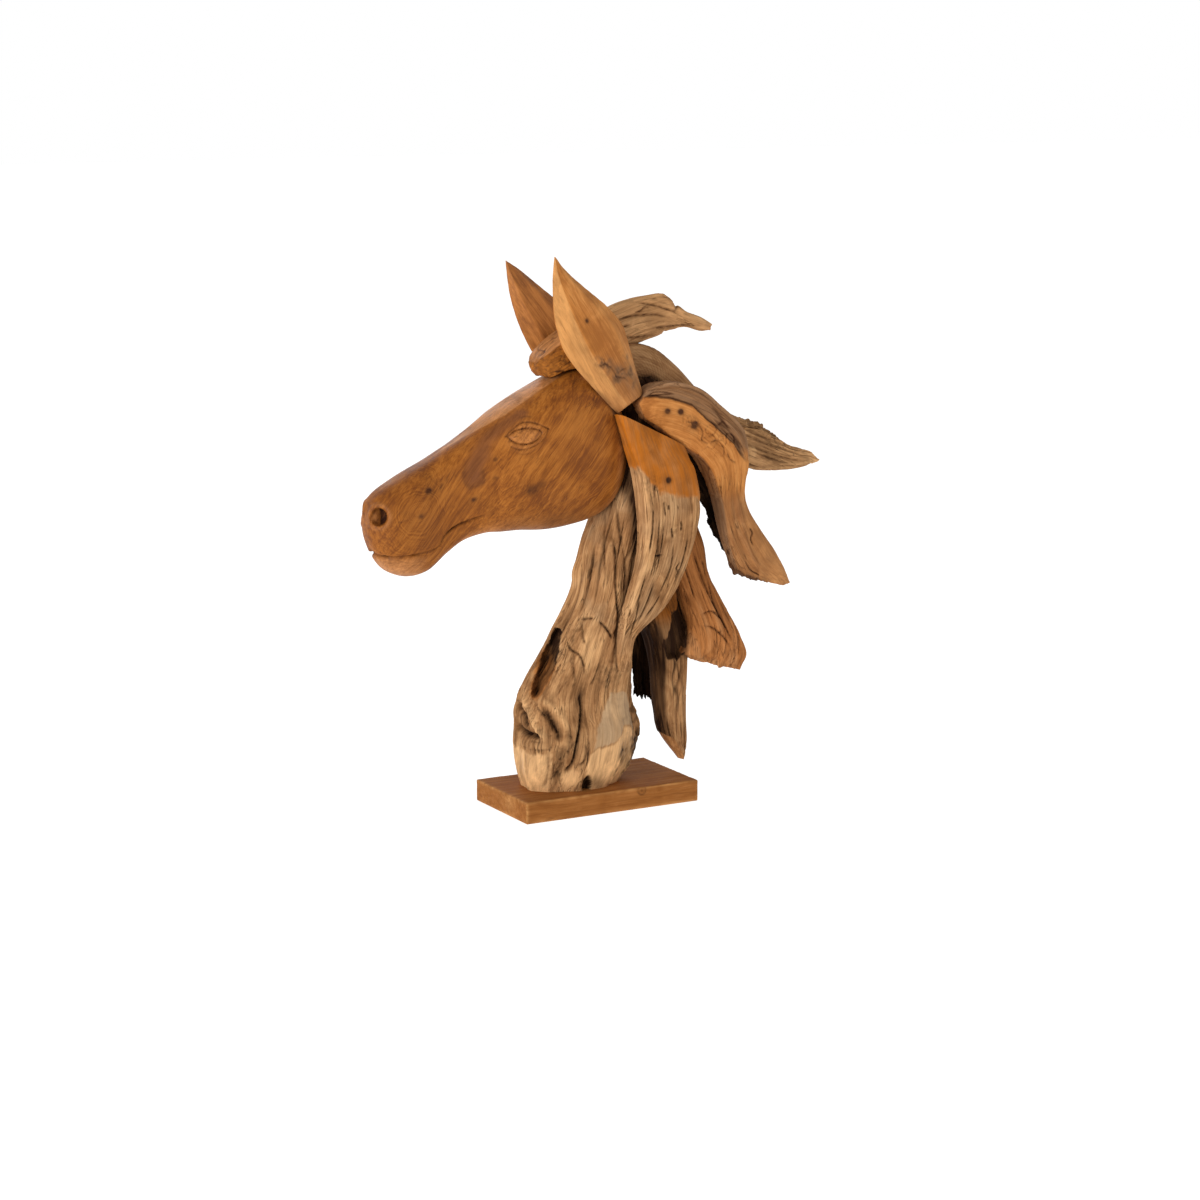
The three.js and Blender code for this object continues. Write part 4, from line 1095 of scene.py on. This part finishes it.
def make_knee():
    lock = Piece("kneed_lock")
    x, z = lock.steps()
    near = lock.faces(NEAR, 0.1, 0.5)
    bevel = along(KNEE_BEVEL, x) + 1.5 * lock.patchy(12)
    above = soft_step(z - bevel, -1, 2) * soft_step(x, 30, 44)
    above *= soft_step(z + 14 * lock.patchy(20, 3, 3), 430, 460)
    face = near * soft_step(z, 396, 436) * (1 - above)
    right = soft_step(x - along(PRONG_EDGE, z), 1, 5)
    flat = right * soft_step(400 - z, 0, 25) * near
    wild = (1 - 0.9 * face) * (1 - 0.85 * flat)
    lock.weather(wild)
    lock.relief -= 4.5 * MM * near * above
    lock.mark("dark", 0.7 * np.exp(-(((z - bevel - 1) / 2.2) ** 2)) * near * soft_step(z, 440, 456))
    lock.mark("grey", 0.85 * above + 0.5 * (1 - near) + 0.45 * soft_step(410 - z, 0, 30))
    lock.mark("dark", 0.28 * above * near)
    lock.knots(KNEE_KNOTS)
    lock.stain(KNEE_STAINS, soft_step(lock.patchy(4), -0.1, 0.4))
    # Cracked plates where the lock bends.
    plates = lock.spot((160, 482), 34, 1.1, 2.0) * face
    crackle = np.abs(lock.noise.plain(lock.points / PLATE_SIZE + 6))
    lock.relief -= 1.3 * MM * plates * (1 - soft_step(crackle, 0.0, 0.1))
    lock.mark("dark", 0.45 * plates * (1 - soft_step(crackle, 0.0, 0.06)))
    lock.mark("pale", 0.22 * plates * soft_step(lock.patchy(14, 3, 2), -0.2, 0.4))
    lock.grooves(KNEE_PLATES)
    # The prong is rounded and weathered left of a ridge, and flat and sawn right of it.
    away, share = lock.line(PRONG_RIDGE)
    lock.relief += 2.5 * STEP * np.exp(-((away / 4) ** 2)) * soft_step(share, 0.02, 0.3)
    lock.grooves(PRONG_CRACK)
    lock.mark("pale", 0.3 * flat)
    lock.mark("dark", 0.22 * (1 - right) * soft_step(440 - z, 0, 40))
    lock.cracks(wild)
    under = lock.faces(DOWN, 0.2, 0.7) * soft_step(320 - z, 0, 20) * soft_step(262 - x, 0, 20)
    lock.relief += 5 * MM * under * lock.patchy(8)
    lock.mark("dark", 0.6 * under)
    lock.mark("rough", 0.25 + 0.65 * wild)
    return lock


def make_bark():
    flake = Piece("bark_flake")
    flake.weather()
    flake.relief += 2.6 * MM * flake.patchy(7)
    flake.cracks()
    flake.mark("pale", 0.12 * soft_step(flake.patchy(12), 0.2, 0.7))
    flake.mark("rough", 1)
    return flake


FOOT_SPLITS = cuts([
    [(150, 320), (162, 285), (176, 250), (196, 215), (214, 186)],
    [(174, 275), (184, 238), (200, 208), (220, 176)],
    [(157, 207), (181, 204), (201, 187), (214, 170)],
    [(166, 300), (170, 290), (172, 276)],
    [(136, 300), (146, 270), (156, 240)],
    [(164, 222), (182, 226), (196, 214)],
], 1.3, 3.6, 0.75, 0.2)


def make_foot():
    lock = Piece("foot_lock")
    x, z = lock.steps()
    lock.weather()
    lock.cracks()
    lock.grooves(FOOT_SPLITS)
    sole = soft_step(176 - z, 0, 14) * soft_step(238 - x, 0, 20)
    lock.relief += 3.5 * MM * sole * lock.patchy(12)
    lock.mark("pale", 0.5 * soft_step(lock.streaky((100, 20, 20)), 0, 0.5) * soft_step(260 - z, 0, 60))
    lock.mark("warm", 0.4)
    lock.mark("rough", 0.8)
    return lock


SPIKE_ROT = [(150, -8, 262), (146, -6, 236), (138, -6, 212), (132, -8, 190), (131, -10, 176)]
SPIKE_CUT = [(105, 62), (122, 52), (132, 46), (156, 14)]
INTO_SPIKE = (0.2, 0.98, 0)
SPIKE_ROT_DEPTH = 13 * MM


def make_spike():
    lock = Piece("spike_lock")
    x, z = lock.steps()
    cut = soft_step(along(SPIKE_CUT, x) - z, -1, 2)
    lock.weather(1 - 0.9 * cut)
    lock.cracks(1 - cut)
    # A rotted hollow runs down its upper part, painted black within as its shade, and the front edge is dark.
    away, share = lock.line(SPIKE_ROT)
    ragged = 1 + 0.45 * lock.streaky((30, 9, 9))
    bowl = away / (10 + 7 * share) * ragged
    near = lock.faces(NEAR, -0.3, 0.2)
    lock.press(INTO_SPIKE, SPIKE_ROT_DEPTH * soft_step(1.1 - bowl, 0, 0.5) * near)
    # Painted shade in the hollow.
    lock.mark("dark", 1.6 * soft_step(1.15 - bowl, 0, 0.2) * near)
    lock.mark("dark", 0.8 * lock.faces(FRONT, 0.1, 0.7) * (1 - cut))
    lock.mark("dark", 0.3 * soft_step(z, 120, 190) + 0.35 * soft_step(z, 215, 250))
    lock.mark("warm", 0.35 * cut + 0.9 * soft_step(z, 200, 230) * near)
    lock.mark("rough", 0.85 - 0.6 * cut)
    return lock


class Finish:
    """A material, and short names for the nodes that it is made of."""

    def __init__(self, name):
        self.material = bpy.data.materials.new(name)
        self.material.use_nodes = True
        self.tree = self.material.node_tree
        self.shader = self.tree.nodes["Principled BSDF"]

    def node(self, kind, inputs, output=0, **settings):
        made = self.tree.nodes.new(kind)
        for key, value in settings.items():
            setattr(made, key, value)
        for key, value in inputs.items():
            self.feed(made.inputs[key], value)
        return made.outputs[output]

    def feed(self, socket, value):
        if isinstance(value, bpy.types.NodeSocket):
            self.tree.links.new(value, socket)
        else:
            socket.default_value = value

    def mark(self, name):
        return self.node("ShaderNodeAttribute", {}, "Fac", attribute_name=name)

    def mark_vector(self, name):
        return self.node("ShaderNodeAttribute", {}, "Vector", attribute_name=name)

    def objects(self):
        return self.node("ShaderNodeTexCoord", {}, "Object")

    def math(self, operation, first, second=0.0, clamp=False):
        return self.node("ShaderNodeMath", {0: first, 1: second}, operation=operation, use_clamp=clamp)

    def pattern(self, at, scale, detail, roughness, distortion):
        """Noise at a place, of a scale given for each direction."""
        at = self.node("ShaderNodeVectorMath", {0: at, 1: scale}, operation="MULTIPLY")
        inputs = dict(Vector=at, Scale=1.0, Detail=detail, Roughness=roughness, Distortion=distortion)
        return self.node("ShaderNodeTexNoise", inputs, "Fac")

    def ramp(self, value, stops):
        made = self.tree.nodes.new("ShaderNodeValToRGB")
        band = made.color_ramp
        while len(band.elements) < len(stops):
            band.elements.new(0.5)
        for element, (position, colour) in zip(band.elements, stops):
            element.position = position
            element.color = (*colour, 1)
        self.feed(made.inputs[0], value)
        return made.outputs[0]

    def span(self, value, low, high, to_low=0.0, to_high=1.0):
        inputs = {"Value": value, "From Min": low, "From Max": high, "To Min": to_low, "To Max": to_high}
        return self.node("ShaderNodeMapRange", inputs)

    def mix(self, share, first, second):
        made = self.tree.nodes.new("ShaderNodeMix")
        made.data_type = "RGBA"
        for socket, value in ((made.inputs[0], share), (made.inputs[6], first), (made.inputs[7], second)):
            self.feed(socket, (*value, 1) if isinstance(value, tuple) else value)
        return made.outputs[2]


def wood(
    name, tones, tints, shares=(0.3, 0.4, 0.3), ring_share=0.1,
    shine=0.12, gloss=(0.46, 0.85), relief=(0.14, 0.85),
):
    """A finish of wood: fibres, streaks, rings and hairline cracks, and the marks of its piece.

    tones are the deep, middle and light colour, and tints the colours of the grey, warm, pale and
    dark marks. shares say how much of the tone the fibres, streaks and patches make, and ring_share
    how much the rings. gloss is the roughness and relief the bump, each on smooth and on rough wood.
    """
    finish = Finish(name)
    grain = finish.mark_vector("grain")
    rough = finish.mark("rough")
    fibres, streaks = finish.pattern(grain, *FIBRES), finish.pattern(grain, *STREAKS)
    patches = finish.pattern(finish.objects(), *PATCHES)
    ring_at = finish.math("ADD", finish.mark("ring"), finish.math("MULTIPLY", patches, RING_WANDER))
    ring_inputs = {"W": ring_at, "Scale": 1.0, "Detail": 1.0}
    ring = finish.node("ShaderNodeTexNoise", ring_inputs, "Fac", noise_dimensions="1D")
    tone = finish.math("MULTIPLY", finish.math("SUBTRACT", ring, 0.5), ring_share)
    for share, value in zip(shares, (fibres, streaks, patches)):
        tone = finish.math("ADD", tone, finish.math("MULTIPLY", value, share))
    colour = finish.ramp(tone, list(zip(TONE_STOPS, tones)))

    # Hairline cracks along the grain, broken off here and there, and few on smooth wood.
    beside = finish.math("ABSOLUTE", finish.math("SUBTRACT", finish.pattern(grain, *THREADS), 0.5))
    hair = finish.span(beside, *HAIR_EDGE, 1, 0)
    weathered = finish.span(rough, 0.1, 1, 0.12, 1)
    allowed = finish.math("MULTIPLY", finish.span(patches, *HAIR_PATCHES), weathered)
    crack = finish.math("MULTIPLY", hair, allowed)

    patch = finish.span(streaks, 0.32, 0.68, *MARK_GAINS)
    for mark, tint in zip(("grey", "warm", "pale", "dark"), tints):
        share = finish.math("MULTIPLY", finish.mark(mark), patch, clamp=True)
        low, high = (tuple(gain * c for c in tint) for gain in TINT_GAINS)
        colour = finish.mix(share, colour, finish.mix(finish.span(tone, 0.4, 0.6), low, high))
    crack_colour = tuple(0.8 * c for c in tints[-1])
    colour = finish.mix(finish.math("MULTIPLY", crack, HAIR_DARK), colour, crack_colour)
    finish.feed(finish.shader.inputs["Base Color"], colour)
    spread = finish.span(fibres, 0.3, 0.7, *GLOSS_SPREAD)
    roughness = finish.math("ADD", finish.span(rough, 0, 1, *gloss), spread)
    finish.feed(finish.shader.inputs["Roughness"], roughness)
    finish.shader.inputs["Specular IOR Level"].default_value = shine
    height = finish.math("ADD", finish.math("MULTIPLY", fibres, 0.6), finish.math("MULTIPLY", streaks, 0.8))
    height = finish.math("SUBTRACT", height, finish.math("MULTIPLY", crack, 0.5))
    bump_inputs = {"Height": height, "Strength": finish.span(rough, 0, 1, *relief), "Distance": BUMP_DEPTH}
    finish.feed(finish.shader.inputs["Normal"], finish.node("ShaderNodeBump", bump_inputs))
    return finish.material


# Each finish: its deep, middle and light tone, its grey, warm, pale and dark tint, and what differs
# from the usual shares and gloss.
FINISHES = {
    "carved_teak": (
        [(0.165, 0.046, 0.006), (0.27, 0.083, 0.010), (0.38, 0.130, 0.019)],
        [(0.175, 0.058, 0.017), (0.40, 0.14, 0.018), (0.50, 0.21, 0.07), (0.034, 0.009, 0.003)],
        dict(shares=(0.32, 0.4, 0.28), ring_share=0.14, shine=0.14, gloss=(0.42, 0.75), relief=(0.06, 0.7)),
    ),
    "sawn_teak": (
        [(0.33, 0.112, 0.022), (0.46, 0.170, 0.038), (0.58, 0.240, 0.063)],
        [(0.32, 0.17, 0.082), (0.50, 0.18, 0.032), (0.49, 0.225, 0.068), (0.050, 0.016, 0.005)],
        dict(shares=(0.25, 0.35, 0.4)),
    ),
    "weathered_root": (
        [(0.20, 0.090, 0.033), (0.37, 0.182, 0.073), (0.52, 0.280, 0.120)],
        [(0.44, 0.28, 0.150), (0.38, 0.112, 0.010), (0.70, 0.40, 0.18), (0.026, 0.010, 0.004)],
        dict(shares=(0.26, 0.34, 0.4), shine=0.08),
    ),
    "red_teak": (
        [(0.18, 0.058, 0.014), (0.33, 0.122, 0.035), (0.45, 0.180, 0.058)],
        [(0.30, 0.16, 0.08), (0.42, 0.15, 0.035), (0.52, 0.25, 0.10), (0.030, 0.010, 0.004)],
        {},
    ),
    "dark_bark": (
        [(0.005, 0.0025, 0.0012), (0.016, 0.008, 0.004), (0.040, 0.020, 0.009)],
        [(0.08, 0.05, 0.03), (0.20, 0.08, 0.02), (0.15, 0.075, 0.033), (0.004, 0.002, 0.001)],
        dict(shine=0.05, gloss=(0.7, 0.95)),
    ),
    "plank_teak": (
        [(0.23, 0.078, 0.017), (0.29, 0.106, 0.025), (0.35, 0.135, 0.036)],
        [(0.30, 0.17, 0.09), (0.42, 0.16, 0.045), (0.50, 0.24, 0.08), (0.06, 0.020, 0.007)],
        dict(shine=0.04, gloss=(0.6, 0.75)),
    ),
}


def mesh_object(name, points, faces, grain, marks):
    mesh = bpy.data.meshes.new(name)
    mesh.from_pydata(points.tolist(), [], faces)
    stored = mesh.attributes.new("grain", "FLOAT_VECTOR", "POINT")
    stored.data.foreach_set("vector", grain.astype(np.float32).ravel())
    for mark, values in marks.items():
        stored = mesh.attributes.new(mark, "FLOAT", "POINT")
        stored.data.foreach_set("value", values.astype(np.float32).ravel())
    mesh.polygons.foreach_set("use_smooth", [True] * len(mesh.polygons))
    mesh.update()
    mesh.set_sharp_from_angle(angle=SHARP_ANGLE)
    made = bpy.data.objects.new(name, mesh)
    bpy.context.collection.objects.link(made)
    return made


def piece_object(piece, dirt_and_shade):
    rows, columns = piece.relief.shape
    shaped = piece.shaped()
    flat = shaped.reshape(-1, 3)
    hubs = np.array([shaped[0].mean(0), shaped[-1].mean(0)])
    points = np.concatenate([flat, hubs])
    index = np.arange(rows * columns).reshape(rows, columns)
    right = np.roll(index, -1, 1)
    quads = np.stack([index[:-1], right[:-1], right[1:], index[1:]], -1).reshape(-1, 4)
    first = np.stack([right[0], index[0], np.full(columns, rows * columns)], -1)
    last = np.stack([index[-1], right[-1], np.full(columns, rows * columns + 1)], -1)
    corner = [points[quads[:, k]] for k in range(4)]
    volume = (np.cross(corner[2] - corner[0], corner[3] - corner[1]) * corner[0]).sum()
    turn = 1 if volume > 0 else -1
    faces = [face[::turn] for group in (quads, first, last) for face in group.tolist()]

    def with_hubs(values):
        return np.concatenate([values.reshape(rows * columns, -1), values[[0, -1]].mean(1).reshape(2, -1)])

    marks = dict(piece.marks, ring=piece.ring)
    # Seams are darkened, as dirt and as painted shade between the pieces.
    marks["dark"] = np.clip(marks["dark"] + dirt_and_shade, 0, 1)
    marks = {mark: with_hubs(values) for mark, values in marks.items()}
    return mesh_object(piece.name + "_wood", points, faces, with_hubs(piece.grain), marks)


PLINTH_STEP = 2.2 * MM
PLINTH_BEVEL = 1.8 * MM
PLINTH_SEED = 61
# On the plinth's front lies a ringed knot, and on its end a pale one, in steps.
FRONT_KNOT = (44, -76, -4)
END_KNOT = (-134, -24, -10)
CROWD_CELL = 4 * MM
CROWD_MARGIN = 30 * MM
# Seams between pieces are darkened, as dirt and as painted shade: the closeness at which that begins and is
# full, and how dark.
SEAM_DIRT_AND_SHADE_CLOSENESS = (0.16, 0.62)
SEAM_DIRT_AND_SHADE_DARK = 0.75


def seam_dirt_and_shade(pieces):
    """For each piece, how close its points lie to other pieces: 0 in the open, 1 in a seam. The result
    darkens the seams, as dirt and as painted shade.
    """
    low = np.array(cad_box[0]) - CROWD_MARGIN
    size = ((np.array(cad_box[1]) + CROWD_MARGIN - low) / CROWD_CELL).astype(int) + 2
    fields, total = [], np.zeros(size)
    for piece in pieces:
        at = ((piece.shaped().reshape(-1, 3) - low) / CROWD_CELL).astype(int)
        field = np.zeros(size)
        np.add.at(field, tuple(at.T), 1.0)
        field = np.minimum(field, 1.0)
        for axis in (0, 1, 2, 0, 1, 2):
            field = (np.roll(field, 1, axis) + 2 * field + np.roll(field, -1, axis)) / 4
        fields.append(field)
        total += field
    shares = []
    for piece, field in zip(pieces, fields):
        others = total - field
        at = (piece.shaped() - low) / CROWD_CELL - 0.5
        cell = np.floor(at).astype(int)
        part = at - cell
        value = np.zeros(piece.relief.shape)
        for corner in np.ndindex(2, 2, 2):
            weight = np.prod(np.where(corner, part, 1 - part), axis=-1)
            value += weight * others[tuple((cell + corner)[..., k] for k in range(3))]
        shares.append(soft_step(value, *SEAM_DIRT_AND_SHADE_CLOSENESS) * SEAM_DIRT_AND_SHADE_DARK)
    return shares


def make_plinth():
    size = plinth_high - plinth_low
    middle = (plinth_high + plinth_low) / 2
    box = bmesh.new()
    bmesh.ops.create_cube(box, size=1)
    bmesh.ops.scale(box, vec=Vector(size), verts=box.verts)
    bmesh.ops.bevel(box, geom=box.edges[:], offset=PLINTH_BEVEL, segments=3, profile=0.5, affect="EDGES")
    while long_edges := [edge for edge in box.edges if edge.calc_length() > PLINTH_STEP]:
        bmesh.ops.subdivide_edges(box, edges=long_edges, cuts=1, use_grid_fill=True)
    box.normal_update()
    points = np.array([vert.co for vert in box.verts]) + middle
    normals = np.array([vert.normal for vert in box.verts])
    box.verts.index_update()
    faces = [[vert.index for vert in face.verts] for face in box.faces]
    box.free()
    noise = Noise(PLINTH_SEED)
    inside = size / 2 - np.abs(points - middle)
    edge = np.sort(inside, axis=1)[:, 1]
    worn = np.exp(-((edge / (3 * MM)) ** 2))
    streaks = noise.layered(points / [0.12, 0.008, 0.008], 3)
    top = normals[:, 2] > -0.5
    relief = 0.25 * MM * streaks - 0.5 * MM * worn * (0.6 + noise.layered(points / 0.01, 2))
    points = points + normals * (np.minimum(relief, 0.1 * MM) * top)[:, None]
    marks = {mark: np.zeros(len(points)) for mark in MARKS}
    marks["pale"] = np.clip(0.75 * worn * (0.6 + noise.layered(points / 0.02, 2)), 0, 1)
    ring = np.linalg.norm((points - place(*FRONT_KNOT)) / [1, 0.3, 1], axis=1) / STEP
    front = normals[:, 1] < -0.5
    marks["dark"] = 0.8 * front * (np.exp(-((ring / 2.2) ** 2)) + 0.7 * np.exp(-(((ring - 6) / 1.3) ** 2)))
    end = np.linalg.norm((points - place(*END_KNOT)) / [1, 1.2, 1], axis=1) / STEP
    marks["pale"] = np.clip(marks["pale"] + 0.5 * np.exp(-((end / 13) ** 2)), 0, 1)
    marks["rough"] = np.full(len(points), 0.35)
    marks["ring"] = np.hypot(points[:, 1] - 0.03, points[:, 2] + 0.05) / RING_SPACING
    return mesh_object("plinth_wood", points, faces, points - plinth_low, marks)


def dress(made, node, finish):
    made.data.materials.append(finishes[finish])
    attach(made, "root")
    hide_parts(node)


FINISH_OF = {
    "head": "carved_teak",
    "neck": "weathered_root",
    "neck_slab_near": "weathered_root",
    "neck_slab_far": "dark_bark",
    "ear_near": "sawn_teak",
    "ear_far": "carved_teak",
    "forelock": "carved_teak",
    "crest_lock": "weathered_root",
    "upper_lock": "weathered_root",
    "kneed_lock": "sawn_teak",
    "bark_flake": "dark_bark",
    "foot_lock": "red_teak",
    "spike_lock": "weathered_root",
}
finishes = {name: wood(name, tones, tints, **rest) for name, (tones, tints, rest) in FINISHES.items()}
pieces = [
    make_head(), make_neck(), make_near_slab(), make_far_slab(), make_ear("ear_near"), make_ear("ear_far"),
    make_forelock(), make_crest(), make_upper(), make_knee(), make_bark(), make_foot(), make_spike(),
]
for piece, dirt_and_shade in zip(pieces, seam_dirt_and_shade(pieces)):
    dress(piece_object(piece, dirt_and_shade), piece.name, FINISH_OF[piece.name])
dress(make_plinth(), "plinth", "plank_teak")


def make_stage():
    """A white paper floor in a white studio, lit softly, and most from the left."""
    bpy.ops.mesh.primitive_plane_add(size=FLOOR_SIZE)
    floor = bpy.context.object
    floor.name = "floor"
    paper = Finish("white_paper")
    paper.shader.inputs["Base Color"].default_value = PAPER_SHADE
    paper.shader.inputs["Roughness"].default_value = PAPER_ROUGHNESS
    paper.shader.inputs["Emission Color"].default_value = WHITE
    paper.shader.inputs["Emission Strength"].default_value = PAPER_GLOW
    floor.data.materials.append(paper.material)

    world = bpy.data.worlds.new("studio")
    world.use_nodes = True
    tree = world.node_tree
    path = tree.nodes.new("ShaderNodeLightPath")
    seen = tree.nodes.new("ShaderNodeMath")
    seen.operation = "MAXIMUM"
    tree.links.new(path.outputs["Is Camera Ray"], seen.inputs[0])
    tree.links.new(path.outputs["Is Glossy Ray"], seen.inputs[1])
    strength = tree.nodes.new("ShaderNodeMapRange")
    strength.inputs["To Min"].default_value = SKY_LIGHT
    strength.inputs["To Max"].default_value = SKY_SEEN
    tree.links.new(seen.outputs[0], strength.inputs["Value"])
    tree.nodes["Background"].inputs["Color"].default_value = WHITE
    tree.links.new(strength.outputs[0], tree.nodes["Background"].inputs["Strength"])
    bpy.context.scene.world = world

    for name, at, size, power in STUDIO_LAMPS:
        light = bpy.data.lights.new(name, "AREA")
        light.energy = power
        light.size = size
        lamp = bpy.data.objects.new(name, light)
        lamp.location = at
        lamp.rotation_euler = (Vector(LAMPS_AIM) - Vector(at)).to_track_quat("-Z", "Y").to_euler()
        bpy.context.collection.objects.link(lamp)


def make_camera():
    camera = bpy.data.cameras.new("camera")
    camera.lens = CAMERA_LENS
    camera.sensor_width = CAMERA_SENSOR
    camera.clip_end = CAMERA_REACH
    made = bpy.data.objects.new("camera", camera)
    made.location = CAMERA_PLACE
    made.rotation_euler = [math.radians(angle) for angle in CAMERA_TURN]
    bpy.context.collection.objects.link(made)
    bpy.context.scene.camera = made


make_stage()
make_camera()
bpy.context.scene.view_settings.view_transform = "Standard"
